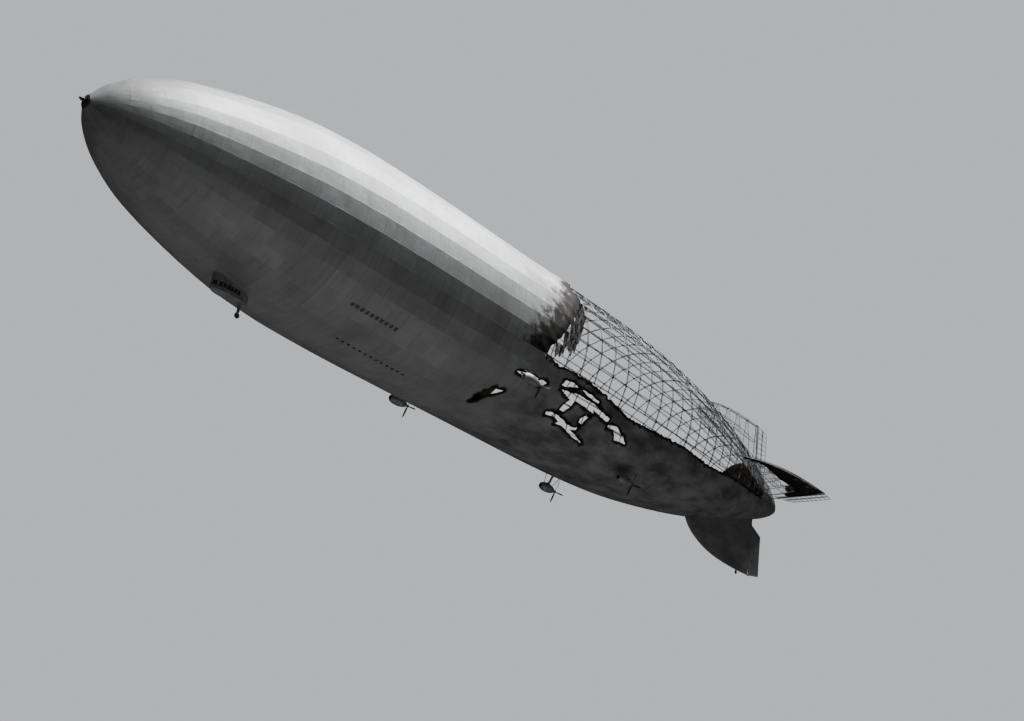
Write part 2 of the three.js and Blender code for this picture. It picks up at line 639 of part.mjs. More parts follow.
// Fin as a closed body, or its hollow: inset in mm.
function finSolid(inset) {
  const stations = FIN.map(([s]) => s);
  if (inset) {
    stations[0] += 0.9;
    stations[stations.length - 1] -= (inset * 1.2) / M;
  }
  const shares = FIN_SPAN.map(([v]) => v);
  const loops = stations.map((s) => {
    const half = spanAt(FIN, s, 2);
    const side = shares.map((v) => {
      const reach = finReach(s, v) * M - (v === 1 ? inset * 2 : 0);
      return [Math.max(half * spanAt(FIN_SPAN, v, 1) * M - inset, 3), v < 0 ? reach - inset * 20 : reach];
    });
    const outline = [...side.map(([y, z]) => [y, z]), ...side.map(([y, z]) => [-y, z]).reverse()];
    return outline.map(([y, z]) => [X(s), y, z]);
  });
  return solid(loft(loops));
}
const finShell = finSolid(0).subtract(finSolid(FIN_SKIN));

// Bay of a bare fin, as a block through its thickness.
function finBay(i, j) {
  const [s0, s1] = [FIN_SPARS[i] + FIN_BAR / 2, FIN_SPARS[i + 1] - FIN_BAR / 2];
  const corner = (s, v, shift) => [X(s), finReach(s, v) * M + shift];
  const bar = (FIN_BAR * M) / 2;
  const loop = [
    corner(s0, FIN_RIBS[j], bar), corner(s1, FIN_RIBS[j], bar),
    corner(s1, FIN_RIBS[j + 1], -bar), corner(s0, FIN_RIBS[j + 1], -bar),
  ];
  return solid(loft([-260, 260].map((y) => loop.map(([x, z]) => [x, y, z]))));
}
const bayOpen = {
  bare: () => true,
  edge: (i, j) => !(j === 2 && i > 0) && !(j === 1 && i === 5),
  whole: () => false,
};

// Rudder or elevator, its nose round the hinge line.
const c = CONTROL;
const controlLoop = (inner) => {
  const [fore, back] = inner ? [c.inner, c.innerAft] : [c.outer, c.outerAft];
  const reach = (x) => (fore + ((back - fore) * x) / (c.aft - HINGE)) * M;
  const half = [
    [-1, 0], [-0.87, 0.5], [-0.5, 0.87], [0, 1],
  ].map(([x, y]) => [x * c.nose, y * c.nose]);
  const aft = [c.aft - HINGE, c.edge];
  const outline = [...half, aft, [aft[0], -aft[1]], ...half.slice(1).reverse().map(([x, y]) => [x, -y])];
  return outline.map(([x, y]) => [x * M, y * M, reach(Math.max(x, 0))]);
};
const controlBody = solid(loft([controlLoop(true), controlLoop(false)]));
const controlPin = (z0, z1, radius) => solid(bar([0, 0, z0], [0, 0, z1], radius, 12));
const [pinLow, pinHigh] = [c.inner * M, c.outer * M];

for (const [side, angle, finCover, controlCover, kind] of TAIL) {
  const group = new THREE.Group();
  group.rotation.x = rad(angle - 90);
  root.add(group);

  let fin = finShell;
  // Hinge lugs on the fin's after edge, beyond both ends of the control surface.
  const post = X(FIN.at(-1)[0]);
  for (const z of [pinLow - LUG.clear - LUG.thick, pinHigh + LUG.clear]) {
    const top = z > 1000;
    fin = fin.add(solid(box(post - 60, X(HINGE) + LUG.half, -LUG.half, LUG.half, z, z + LUG.thick)));
    if (top) fin = fin.add(solid(box(post - 60, post, -LUG.half, LUG.half, z - 60, z + LUG.thick)));
  }
  // Its root stands on the cover, or on the bare frame where the cover is gone.
  fin = fin.subtract(hullSolid(angle === 270 ? -GAP : SKIN, 197, 225)).subtract(hullSolid(-GAP, 224.9, 234));
  for (let i = 0; i < FIN_SPARS.length - 1; i++)
    for (let j = 0; j < FIN_RIBS.length - 1; j++)
      if (bayOpen[finCover](i, j)) fin = fin.subtract(finBay(i, j));
  const hinge = new THREE.Group();
  hinge.position.x = X(HINGE);
  group.add(hinge);
  fin = fin.subtract(controlPin(pinLow - 60, pinHigh + 60, PIN.hole).translate([X(HINGE), 0, 0]));
  if (angle === 270) {
    // The tail wheel's fork is part of the lower fin.
    const fork = forkSolid(tail, 120).rotate([0, 180, 180]);
    fin = fin.add(fork.translate([X(tail.station), 0, -tail.z * M]));
  }
  add(`fin_${side}`, geometryOf(fin), finCover === "whole" ? "cover" : "frame", group);

  let control = controlBody
    .add(controlPin(pinLow - PIN.length, pinLow + 40, PIN.radius))
    .add(controlPin(pinHigh - 40, pinHigh + PIN.length, PIN.radius));
  if (controlCover === "bare")
    for (const [x0, x1] of [[40, 265], [290, 475]])
      for (let k = 0; k < 5; k++) {
        const [z0, z1] = [1010 + k * 226, 1010 + k * 226 + 200];
        control = control.subtract(solid(box(x0, x1, -60, 60, z0, z1)));
      }
  add(`${kind}_${side}`, geometryOf(control), controlCover === "whole" ? "cover" : "frame", hinge);
}

export default root;
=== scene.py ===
import math

import bmesh
import bpy
import numpy as np
from mathutils import Matrix, Vector, geometry, kdtree, noise


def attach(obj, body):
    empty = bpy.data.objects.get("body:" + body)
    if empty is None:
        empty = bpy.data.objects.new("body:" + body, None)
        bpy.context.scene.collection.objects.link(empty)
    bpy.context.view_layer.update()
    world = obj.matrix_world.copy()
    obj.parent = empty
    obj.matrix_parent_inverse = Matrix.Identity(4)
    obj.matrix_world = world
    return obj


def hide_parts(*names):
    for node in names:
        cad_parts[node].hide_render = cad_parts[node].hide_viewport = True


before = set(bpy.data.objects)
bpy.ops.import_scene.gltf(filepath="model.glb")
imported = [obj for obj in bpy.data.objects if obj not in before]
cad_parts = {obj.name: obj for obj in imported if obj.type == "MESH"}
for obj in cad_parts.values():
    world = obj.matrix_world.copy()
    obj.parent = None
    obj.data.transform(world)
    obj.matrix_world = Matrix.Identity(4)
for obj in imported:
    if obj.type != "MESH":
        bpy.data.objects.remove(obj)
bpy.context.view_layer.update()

# The studio is a pale matt floor far under the ship, a dim pale surround and one broad soft light over
# the stern, so that the top of the hull is bright and its port side lies in shade. The camera stands at
# floor level, ahead of the bow on the port side, and looks up along the ship.
FLOOR_Z = -12.36
FLOOR_HALF = 3000.0
FLOOR_COLOUR = (0.20, 0.20, 0.195, 1)
FLOOR_GLOW = 0.50  # pale to the eye only, so that it throws little light up at the ship
CORNERS = [(-1, -1), (1, -1), (1, 1), (-1, 1)]
CAMERA_PLACE = (-23.02, -20.07, -12.19)
CAMERA_RIGHT = Vector((0.6062, -0.7857, 0.1229))
CAMERA_DOWN = Vector((0.3598, 0.1331, -0.9235))
FOCAL_PIXELS = 1452
PHOTO_PIXELS = 1024
CAMERA_REACH = 9000.0
KEY_PLACE = Vector((-1.0, -4.2, 13.5))
KEY_TARGET = Vector((-1.0, 0.0, 0.0))
KEY_SIZE = (24.0, 6.0)
KEY_POWER = 11500.0
FILL_FROM = Vector((-0.55, -1.0, -0.32))
FILL_STRENGTH = 0.04
FILL_SPREAD = math.radians(40)
SKY_COLOUR = (0.60, 0.61, 0.63, 1)
SKY_LIGHT = 0.055


def add_node(tree, kind, inputs=None, **settings):
    """A node with its settings, its inputs filled with values or linked to other nodes' outputs."""
    node = tree.nodes.new(kind)
    for key, value in settings.items():
        setattr(node, key, value)
    for key, value in (inputs or {}).items():
        if isinstance(value, bpy.types.NodeSocket):
            tree.links.new(value, node.inputs[key])
        else:
            node.inputs[key].default_value = value
    return node


def mix_colour(tree, share, first, second):
    """The first colour where share is 0 and the second where it is 1."""
    return add_node(tree, "ShaderNodeMix", {0: share, 6: first, 7: second}, data_type="RGBA").outputs[2]


def new_material(name, colour, roughness=0.5, metallic=0.0, specular=0.5):
    """A material with its one surface shader, ready for its pattern. Returns it, its tree and the shader."""
    material = bpy.data.materials.new(name)
    material.use_nodes = True
    tree = material.node_tree
    shader = next(n for n in tree.nodes if n.type == "BSDF_PRINCIPLED")
    shader.inputs["Base Color"].default_value = colour
    shader.inputs["Roughness"].default_value = roughness
    shader.inputs["Metallic"].default_value = metallic
    shader.inputs["Specular IOR Level"].default_value = specular
    material.diffuse_color = colour
    return material, tree, shader


def darker(colour, share):
    return tuple(share * c for c in colour[:3]) + (1,)


def piece(name, points, faces, material=None, edges=()):
    """A mesh object in the ship's own frame."""
    mesh = bpy.data.meshes.new(name)
    mesh.from_pydata(np.asarray(points, float).tolist(), np.asarray(edges, int).tolist(), faces)
    obj = bpy.data.objects.new(name, mesh)
    bpy.context.scene.collection.objects.link(obj)
    if material:
        mesh.materials.append(material)
    return obj


floor_material, floor_tree, floor_shader = new_material("studio_floor", FLOOR_COLOUR, 0.9, specular=0.2)
floor_place = add_node(floor_tree, "ShaderNodeTexCoord").outputs["Object"]
floor_noise = add_node(floor_tree, "ShaderNodeTexNoise", {"Vector": floor_place, "Scale": 0.35, "Detail": 6})
floor_tone = mix_colour(floor_tree, floor_noise.outputs[0], FLOOR_COLOUR, darker(FLOOR_COLOUR, 0.9))
floor_tree.links.new(floor_tone, floor_shader.inputs["Base Color"])
floor_seen = add_node(floor_tree, "ShaderNodeLightPath").outputs["Is Camera Ray"]
floor_glow = add_node(floor_tree, "ShaderNodeMapRange", {
    "Value": floor_seen, "To Min": 0.0, "To Max": FLOOR_GLOW})
floor_tree.links.new(floor_glow.outputs[0], floor_shader.inputs["Emission Strength"])
floor_shader.inputs["Emission Color"].default_value = (1, 1, 1, 1)
floor_points = [(x * FLOOR_HALF, y * FLOOR_HALF, FLOOR_Z) for x, y in CORNERS]
studio_floor = piece("studio_floor", floor_points, [(0, 1, 2, 3)], floor_material)

camera = bpy.data.objects.new("camera", bpy.data.cameras.new("camera"))
bpy.context.scene.collection.objects.link(camera)
camera_back = CAMERA_RIGHT.cross(-CAMERA_DOWN).normalized()
camera_axes = Matrix((CAMERA_RIGHT, -CAMERA_DOWN, camera_back)).transposed()
camera.matrix_world = Matrix.Translation(CAMERA_PLACE) @ camera_axes.to_4x4()
camera.data.lens = FOCAL_PIXELS / PHOTO_PIXELS * camera.data.sensor_width
camera.data.clip_end = CAMERA_REACH
bpy.context.scene.camera = camera

key_light = bpy.data.lights.new("key_light", "AREA")
key_light.shape = "RECTANGLE"
key_light.size, key_light.size_y = KEY_SIZE
key_light.energy = KEY_POWER
fill_light = bpy.data.lights.new("fill_light", "SUN")
fill_light.energy = FILL_STRENGTH
fill_light.angle = FILL_SPREAD
lights = [(key_light, KEY_PLACE, KEY_PLACE - KEY_TARGET), (fill_light, Vector(), FILL_FROM)]
for light, place, source in lights:
    lamp = bpy.data.objects.new(light.name, light)
    lamp.location = place
    lamp.rotation_euler = source.to_track_quat("Z", "Y").to_euler()
    bpy.context.scene.collection.objects.link(lamp)

world = bpy.data.worlds.new("surround")
world.use_nodes = True
bpy.context.scene.world = world
world_tree = world.node_tree
background = next(n for n in world_tree.nodes if n.type == "BACKGROUND")
background.inputs["Color"].default_value = SKY_COLOUR
seen = add_node(world_tree, "ShaderNodeLightPath").outputs["Is Camera Ray"]
sky_strength = add_node(world_tree, "ShaderNodeMapRange", {"Value": seen, "To Min": SKY_LIGHT, "To Max": 1.0})
world_tree.links.new(sky_strength.outputs[0], background.inputs["Strength"])

# The cover is doped cotton, laced in panels to the frame's rings and longitudinals and doped silver. Each
# gore between two longitudinals is a flat facet. Its after edge is burnt away in a ragged line over the
# top and the port side, where the cloth hangs slack and is scorched, and holes are burnt through its side.
METRE = 0.1  # model metres for one metre of the ship
ORIGIN_STATION = 115.0
GORE = 10.0
PANEL = 5.0
CUTS = 8  # parts of a panel each way in the cover's mesh
HULL = [
    (0, 0.7), (0.5, 1.3), (1.2, 2.15), (3, 4.5), (6, 7.16), (10, 9.69), (15, 12.05), (21, 14.05), (27, 15.67),
    (34, 17.32), (42, 18.8), (49.5, 19.6), (57, 20.14), (72, 20.55), (88.5, 20.6), (105, 20.6), (121.5, 20.6),
    (138, 20.6), (153, 20.3), (168, 19.4), (183, 17.6), (198, 15.1), (211.5, 11.9), (225, 8.2), (233.5, 5.8),
    (240, 3.4), (244, 1.3),
]
TEAR = {
    -20: 109, -10: 113.4, 0: 116.5, 10: 118.2, 20: 119.6, 30: 121, 40: 119.4, 50: 120.6, 60: 119.2, 70: 121,
    80: 119.8, 90: 120.8, 100: 119.3, 110: 120.6, 120: 119.6, 130: 121.2, 140: 119.4, 150: 120.2, 160: 117.6,
    170: 115.4, 180: 113.1, 190: 110.6, 200: 108.2,
}
JOIN = 57.5  # station where the forward and middle covers meet
LAP = 97.5  # station where the lower after cover starts
LOWER_EDGE = [
    (111, 201.2, 339.2), (114, 201.6, 338.8), (118.5, 200.6, 339.6), (121.5, 200.5, 338), (124, 200.5, 336),
    (130, 201.6, 337), (138, 205, 338.5), (143, 207.4, 335.5), (153, 206, 333), (168, 204, 336),
    (183, 206, 334), (198, 203, 338), (211.5, 202, 337), (225, 201.5, 338.5),
]
HOLES = [
    [(100.2, 250), (99.6, 244), (100.4, 238), (101.6, 233.6), (104.2, 232.4), (103.4, 235.4), (101.8, 239.6),
     (101.2, 247)],
    [(103.4, 217.4), (105.6, 216), (108.2, 215.8), (110.2, 216.4), (111.6, 214.2), (113.2, 214.8),
     (112.2, 217.8), (110, 218.6), (107.4, 217.8), (105, 218.4)],
    [(118.6, 230.4), (120.2, 228.6), (122.8, 228.6), (125.2, 229.8), (126.8, 231.2), (129.2, 230.6),
     (130.2, 229.4), (130.4, 231.6), (128.8, 233), (132, 235), (135.4, 237.6), (131.4, 236.8),
     (126, 233.6), (123.6, 234.4), (124.2, 232.2), (121.8, 230.6), (119.4, 232.4)],
    [(117.6, 213.6), (121.8, 212), (123.8, 210.8), (129.4, 211.2), (137.2, 214), (137, 216.6),
     (133.4, 215.6), (130.6, 214.4), (131.4, 216.4), (125.6, 215.2), (124, 215.4), (123.8, 220),
     (122.9, 225.2), (121.6, 225), (121.4, 221.6), (122.2, 216.4), (120.6, 215.2)],
    [(117.4, 211), (117.8, 207.4), (121, 206.2), (122.6, 207.2), (120.4, 209.2), (118.6, 211.2)],
    [(124.4, 207), (127.4, 207), (131.2, 208.4), (130.6, 209.6), (126.4, 208.8)],
    [(138, 219.6), (137.8, 217.8), (140.8, 216), (143, 218.4), (144.8, 219.6), (147.2, 223.4),
     (143, 224.4), (141.6, 221.2), (140.6, 219.2)],
    [(129.2, 226), (128.8, 223.4), (129.6, 219.6), (130.8, 219.8), (130.4, 224), (130.6, 226.2)],
]
FULL_RADIUS = max(radius for _, radius in HULL)
DEGREE = math.radians(1) * FULL_RADIUS  # the ship's metres round the full hull for one degree
CLOTH = 0.009
BILLOW = 0.003  # model metres by which a panel's middle stands out
PEAK = 16.0  # brings the swell's product of two curves to 1 in a panel's middle
TEETH = (0.7, 2.2, 4)  # roughness, growth and octaves of the noise that burns an edge
BURNT_STEP = 0.45  # the ship's metres between the points of a burnt edge
EDGE_CLEAR = 0.45  # share of a cell that the mesh inside keeps from every edge
SMOKE_FROM, SMOKE_REACH = 78, 45  # station where the soot starts, and over what length it grows
SLACK_REACH = 15.0  # the ship's metres from a burnt edge where the cloth is slack
NO_EDGE = 99.0
COVER_COLOUR = (0.50, 0.51, 0.52, 1)
COVER_DIRT = (0.20, 0.19, 0.175, 1)
TAPE_COLOUR = (0.56, 0.57, 0.58, 1)
SCORCH_COLOUR = (0.017, 0.014, 0.012, 1)
CHAR_COLOUR = (0.012, 0.011, 0.010, 1)
INSIDE_TONES = (0.13, 0.115, 0.10, 1), (0.045, 0.04, 0.035, 1)


def smooth_line(points, steps=12):
    """Points on a smooth curve through the given ones."""
    p = np.array(points, float)
    p = np.vstack([2 * p[0] - p[1], p, 2 * p[-1] - p[-2]])
    t = np.linspace(0, 1, steps, endpoint=False)[:, None]
    spans = [
        0.5 * (2 * b + (c - a) * t + (2 * a - 5 * b + 4 * c - d) * t**2 + (3 * b - a - 3 * c + d) * t**3)
        for a, b, c, d in zip(p, p[1:], p[2:], p[3:])
    ]
    return np.vstack(spans + [p[-2]])


HULL_LINE = smooth_line(HULL)


def hull_radius(station):
    """Radius to a gore's corner, in the ship's metres."""
    return np.interp(station, HULL_LINE[:, 0], HULL_LINE[:, 1])


def at_station(station):
    return (np.asarray(station, float) - ORIGIN_STATION) * METRE


def on_hull(station, angle, depth=0.0):
    """Points of the faceted hull, depth model metres under the cloth."""
    station, angle = np.broadcast_arrays(np.asarray(station, float), np.asarray(angle, float))
    facet = math.cos(math.radians(GORE / 2)) / np.cos(np.radians(np.mod(angle, GORE) - GORE / 2))
    radius = (hull_radius(station) * METRE - depth) * facet
    turn = np.radians(angle)
    return np.stack([at_station(station), radius * np.cos(turn), radius * np.sin(turn)], -1)


def spaced(line, step):
    """The corners of a line of (station, angle) points, with points added at most a step apart each way."""
    p = np.array(line, float)
    out = []
    for a, b in zip(p, p[1:]):
        count = max(1, math.ceil(np.abs((b - a) / step).max() - 1e-6))
        out.append(a + (b - a) * np.linspace(0, 1, count, endpoint=False)[:, None])
    return np.vstack(out + [p[-1:]])


def burnt(line, seed, bite=0.45, step=BURNT_STEP):
    """A line of (station, angle) points with a burnt edge's teeth and tongues."""
    edge = spaced(line, (step, step / DEGREE)) * (1, DEGREE)
    way = np.gradient(edge, axis=0)
    side = np.stack([-way[:, 1], way[:, 0]], -1) / np.hypot(*way.T)[:, None]
    marks = [Vector((k * step * 0.7, seed, 0)) for k in range(len(edge))]
    push = np.array([noise.fractal(mark, *TEETH) for mark in marks])
    push[0] = push[-1] = 0
    return (edge + side * (push * bite)[:, None]) / (1, DEGREE)


def within(points, outline):
    """Which points lie inside a closed outline."""
    x, y = points.T
    inside = np.zeros(len(points), bool)
    for (x0, y0), (x1, y1) in zip(outline, np.roll(outline, -1, axis=0)):
        if y0 != y1:
            inside ^= ((y0 > y) != (y1 > y)) & (x < (x1 - x0) * (y - y0) / (y1 - y0) + x0)
    return inside


def nearest(points, marks):
    """Each point's distance to the nearest mark, in the ship's metres."""
    if not len(marks):
        return np.full(len(points), NO_EDGE)
    tree = kdtree.KDTree(len(marks))
    for k, (x, y) in enumerate(marks):
        tree.insert((x, y * DEGREE, 0), k)
    tree.balance()
    return np.array([tree.find((x, y * DEGREE, 0))[2] for x, y in points])


def cut_cloth(outline, holes):
    """Cuts cloth along an outline and holes of (station, angle) points. Returns its points and triangles."""
    cell = np.array([PANEL, GORE]) / CUTS
    loops = [np.array(outline, float), *holes]
    low, high = loops[0].min(0), loops[0].max(0)
    counts = [np.arange(math.ceil(a / c), math.floor(b / c) + 1) * c for a, b, c in zip(low, high, cell)]
    grid = np.stack(np.meshgrid(*counts, indexing="ij"), -1).reshape(-1, 2)
    kept = within(grid, loops[0])
    for loop in loops[1:]:
        kept &= ~within(grid, loop)
    edge = np.vstack(loops)
    grid = grid[kept]
    grid = grid[nearest(grid, edge) > EDGE_CLEAR * cell[1] * DEGREE]
    ties, start = [], 0
    for loop in loops:
        ties += [(start + k, start + (k + 1) % len(loop)) for k in range(len(loop))]
        start += len(loop)
    points = np.vstack([edge, grid]) * (1, DEGREE)
    made = geometry.delaunay_2d_cdt([Vector(p) for p in points], ties, [], 0, 1e-5)
    flat = np.array([tuple(v) for v in made[0]]) / (1, DEGREE)
    triangles = np.array(made[2])
    middle = flat[triangles].mean(1)
    kept = within(middle, loops[0])
    for loop in loops[1:]:
        kept &= ~within(middle, loop)
    return flat, triangles[kept][:, ::-1]


def node_tree(name, kind, inputs, outputs):
    """A new node tree with named inputs and outputs. Returns it and its two ends' sockets."""
    tree = bpy.data.node_groups.new(name, kind)
    for socket_name, socket_kind, value in inputs:
        socket = tree.interface.new_socket(
            socket_name, in_out="INPUT", socket_type="NodeSocket" + socket_kind)
        if value is not None:
            socket.default_value = value
    for socket_name, socket_kind in outputs:
        tree.interface.new_socket(socket_name, in_out="OUTPUT", socket_type="NodeSocket" + socket_kind)
    start = tree.nodes.new("NodeGroupInput")
    end = tree.nodes.new("NodeGroupOutput")
    return tree, start.outputs, end.inputs


def sums(tree):
    """A call that adds one sum to a node tree and gives its result."""
    return lambda operation, *values: add_node(
        tree, "ShaderNodeMath", dict(enumerate(values)), operation=operation).outputs[0]


def shape_tree(name, inputs):
    """A geometry tree with a geometry input, the named inputs and a material."""
    return node_tree(name, "GeometryNodeTree",
                     [("Geometry", "Geometry", None), *inputs, ("Material", "Material", None)],
                     [("Geometry", "Geometry")])


def finish_shape(tree, shape, start, end):
    """Ends a geometry tree: real faces, with their material."""
    real = add_node(tree, "GeometryNodeRealizeInstances", {0: shape}).outputs[0]
    made = add_node(tree, "GeometryNodeSetMaterial", {"Geometry": real, "Material": start["Material"]})
    tree.links.new(made.outputs[0], end[0])


def grow(obj, tree, **values):
    """Runs a geometry tree on an object once and keeps the result as its own mesh."""
    modifier = obj.modifiers.new(tree.name, "NODES")
    modifier.node_group = tree
    for socket in tree.interface.items_tree:
        key = socket.name.replace(" ", "_").lower()
        if socket.in_out == "INPUT" and key in values:
            modifier[socket.identifier] = values[key]
    grown = obj.evaluated_get(bpy.context.evaluated_depsgraph_get())
    mesh = bpy.data.meshes.new_from_object(grown)
    obj.modifiers.remove(modifier)
    plain = obj.data
    obj.data = mesh
    bpy.data.meshes.remove(plain)
    mesh.name = obj.name
    return obj


def set_values(mesh, values, domain="POINT"):
    """Stores named numbers on a mesh."""
    for key, value in values.items():
        data = np.asarray(value, np.float32)
        mesh.attributes.new(key, "FLOAT", domain).data.foreach_set("value", data)


def get_values(mesh, key):
    out = np.empty(len(mesh.attributes[key].data), np.float32)
    mesh.attributes[key].data.foreach_get("value", out)
    return out


# The tree that lays a flat cut of cloth on the hull: it wraps each point round the axis on to its gore,
# swells each panel between the seams, and throws the cloth into slanting folds where it is slack.
laying, lay_in, lay_out = shape_tree("cloth_on_hull", [
    ("Gore", "Float", GORE), ("Panel", "Float", PANEL), ("Billow", "Float", BILLOW), ("Slack", "Float", 0.1),
    ("Fold Width", "Float", 1.7), ("Fold Length", "Float", 11.0), ("Fold Slant", "Float", math.radians(33)),
    ("Seed", "Float", 1.0),
])
lay = sums(laying)


def stored(tree, name):
    return add_node(tree, "GeometryNodeInputNamedAttribute", {"Name": name}, data_type="FLOAT").outputs[0]


station, angle, radius, slackness = [stored(laying, n) for n in ("station", "angle", "radius", "slack")]
along = lay("FRACT", lay("DIVIDE", station, lay_in["Panel"]))
across = lay("FRACT", lay("DIVIDE", angle, lay_in["Gore"]))
rise_along = lay("MULTIPLY", along, lay("SUBTRACT", 1.0, along))
rise_across = lay("MULTIPLY", across, lay("SUBTRACT", 1.0, across))
swell = lay("MULTIPLY", PEAK, lay("MULTIPLY", rise_along, rise_across))
swell = lay("MULTIPLY", swell, lay_in["Billow"])
in_gore = lay("MULTIPLY", lay("SUBTRACT", across, 0.5), lay_in["Gore"])
half_gore = lay("COSINE", lay("RADIANS", lay("MULTIPLY", lay_in["Gore"], 0.5)))
facet = lay("DIVIDE", half_gore, lay("COSINE", lay("RADIANS", in_gore)))
down_side = lay("MULTIPLY", lay("ABSOLUTE", lay("SUBTRACT", angle, 90.0)), DEGREE)
slant_cos, slant_sin = lay("COSINE", lay_in["Fold Slant"]), lay("SINE", lay_in["Fold Slant"])
fold_along = lay("ADD", lay("MULTIPLY", station, slant_cos), lay("MULTIPLY", down_side, slant_sin))
fold_across = lay("SUBTRACT", lay("MULTIPLY", down_side, slant_cos), lay("MULTIPLY", station, slant_sin))
fold_place = add_node(laying, "ShaderNodeCombineXYZ", {
    "X": lay("DIVIDE", fold_along, lay_in["Fold Length"]),
    "Y": lay("DIVIDE", fold_across, lay_in["Fold Width"]),
    "Z": lay_in["Seed"],
}).outputs[0]
fold_noise = add_node(laying, "ShaderNodeTexNoise", {"Vector": fold_place, "Scale": 0.6, "Detail": 2.0})
fold = lay("MULTIPLY", lay("ABSOLUTE", lay("SUBTRACT", fold_noise.outputs[0], 0.5)), 2.0)
fold = lay("MULTIPLY", lay("MULTIPLY", fold, fold), 1.6)
sag = lay("MULTIPLY", lay("MULTIPLY", fold, slackness), lay_in["Slack"])
height = lay("ADD", lay("ADD", lay("MULTIPLY", radius, facet), swell), sag)
turned = lay("RADIANS", angle)
laid_point = add_node(laying, "ShaderNodeCombineXYZ", {
    "X": lay("MULTIPLY", lay("SUBTRACT", station, ORIGIN_STATION), METRE),
    "Y": lay("MULTIPLY", height, lay("COSINE", turned)),
    "Z": lay("MULTIPLY", height, lay("SINE", turned)),
}).outputs[0]
laid = add_node(laying, "GeometryNodeSetPosition", {"Geometry": lay_in[0], "Position": laid_point}).outputs[0]
joined = add_node(laying, "GeometryNodeMergeByDistance", {"Geometry": laid, "Distance": 0.0004}).outputs[0]
smooth = add_node(laying, "GeometryNodeSetShadeSmooth", {
    "Geometry": joined, "Shade Smooth": True}, domain="FACE").outputs[0]
on_seam = lay("GREATER_THAN", lay("LESS_THAN", rise_across, 0.004), 0.99)
creased = add_node(laying, "GeometryNodeSetShadeSmooth", {
    "Geometry": smooth, "Selection": on_seam, "Shade Smooth": False}, domain="EDGE").outputs[0]
finish_shape(laying, creased, lay_in, lay_out)


def loop_points(mesh):
    """The number of the point at each corner of each face."""
    corner = np.empty(len(mesh.loops), np.int32)
    mesh.loops.foreach_get("vertex_index", corner)
    return corner


def set_map(mesh, along, across):
    """Gives a sheet its own UV map, in units of its panels."""
    layer = mesh.uv_layers.new(name="panels")
    layer.data.foreach_set("uv", np.stack([along, across], -1).ravel())


def panel_map(mesh):
    """Maps a cover one unit to a panel along the hull and one to a gore round it."""
    gores = 360 / GORE
    corner = loop_points(mesh)
    across = (get_values(mesh, "angle")[corner] / GORE).reshape(-1, 3)
    wrapped = (np.ptp(across, axis=1) > gores / 2)[:, None] & (across < gores / 4)
    across = np.where(wrapped, across + gores, across)
    set_map(mesh, get_values(mesh, "station")[corner] / PANEL, across.ravel())


def wall(obj, thickness, inside, offset=-1):
    """Gives an open skin its thickness, with its own finish inside and a crisp rim."""
    shape = bmesh.new()
    shape.from_mesh(obj.data)
    for edge in shape.edges:
        edge.smooth = edge.smooth and not edge.is_boundary
    shape.to_mesh(obj.data)
    shape.free()
    obj.data.materials.append(inside)
    solid = obj.modifiers.new("wall", "SOLIDIFY")
    solid.thickness = thickness
    solid.offset = offset
    solid.material_offset = 1
    solid.material_offset_rim = 1


def mount(obj, body, nodes=()):
    """Fixes a piece to a body, and says which solids it stands for."""
    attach(obj, body)
    if nodes:
        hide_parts(*nodes)
    return obj


def cover(name, outline, holes, burnt_edges, material, smoke, nodes, slack=0.0, spread=None):
    """Cuts a cover's cloth, lays it on the hull and gives it its thickness inwards."""
    flat, triangles = cut_cloth(outline, holes)
    obj = piece(name, np.column_stack([flat, np.zeros(len(flat))]), triangles.tolist())
    distance = np.minimum(nearest(flat, burnt_edges), NO_EDGE)
    dark_band_distance = distance / spread(flat[:, 1]) if spread else distance
    set_values(obj.data, {
        "station": flat[:, 0], "angle": flat[:, 1], "radius": hull_radius(flat[:, 0]) * METRE,
        "burn": dark_band_distance, "slack": np.clip(1 - distance / SLACK_REACH, 0, 1) ** 1.8,
        "smoke": smoke(flat[:, 0], flat[:, 1]),
    })
    grow(obj, laying, slack=slack, material=material)
    panel_map(obj.data)
    wall(obj, CLOTH, inside_material)
    mount(obj, "hull", nodes)


# Seam tapes and the slightly different tone of each panel, drawn in a cover's own map.
seam_tree, seam_in, seam_out = node_tree(
    "panel_seams", "ShaderNodeTree",
    [("Map", "Vector", None), ("Tape", "Float", 0.012), ("Seed", "Float", 1.0)],
    [("Tape", "Float"), ("Tone", "Float")])
seam = sums(seam_tree)
map_parts = add_node(seam_tree, "ShaderNodeSeparateXYZ", {0: seam_in["Map"]}).outputs
from_seam = [
    seam("ABSOLUTE", seam("SUBTRACT", seam("FRACT", seam("ADD", part, 0.5)), 0.5))
    for part in map_parts[:2]]
tape_edge = add_node(seam_tree, "ShaderNodeMapRange", {
    "Value": seam("MINIMUM", *from_seam), "From Min": seam("MULTIPLY", seam_in["Tape"], 1.3),
    "From Max": seam("MULTIPLY", seam_in["Tape"], 0.9)}, interpolation_type="SMOOTHSTEP").outputs[0]
seam_tree.links.new(tape_edge, seam_out["Tape"])
panel_number = add_node(seam_tree, "ShaderNodeCombineXYZ", {
    "X": seam("FLOOR", map_parts[0]), "Y": seam("FLOOR", map_parts[1]), "Z": seam_in["Seed"]}).outputs[0]
panel_tone = add_node(seam_tree, "ShaderNodeTexWhiteNoise", {"Vector": panel_number}).outputs["Value"]
seam_tree.links.new(panel_tone, seam_out["Tone"])

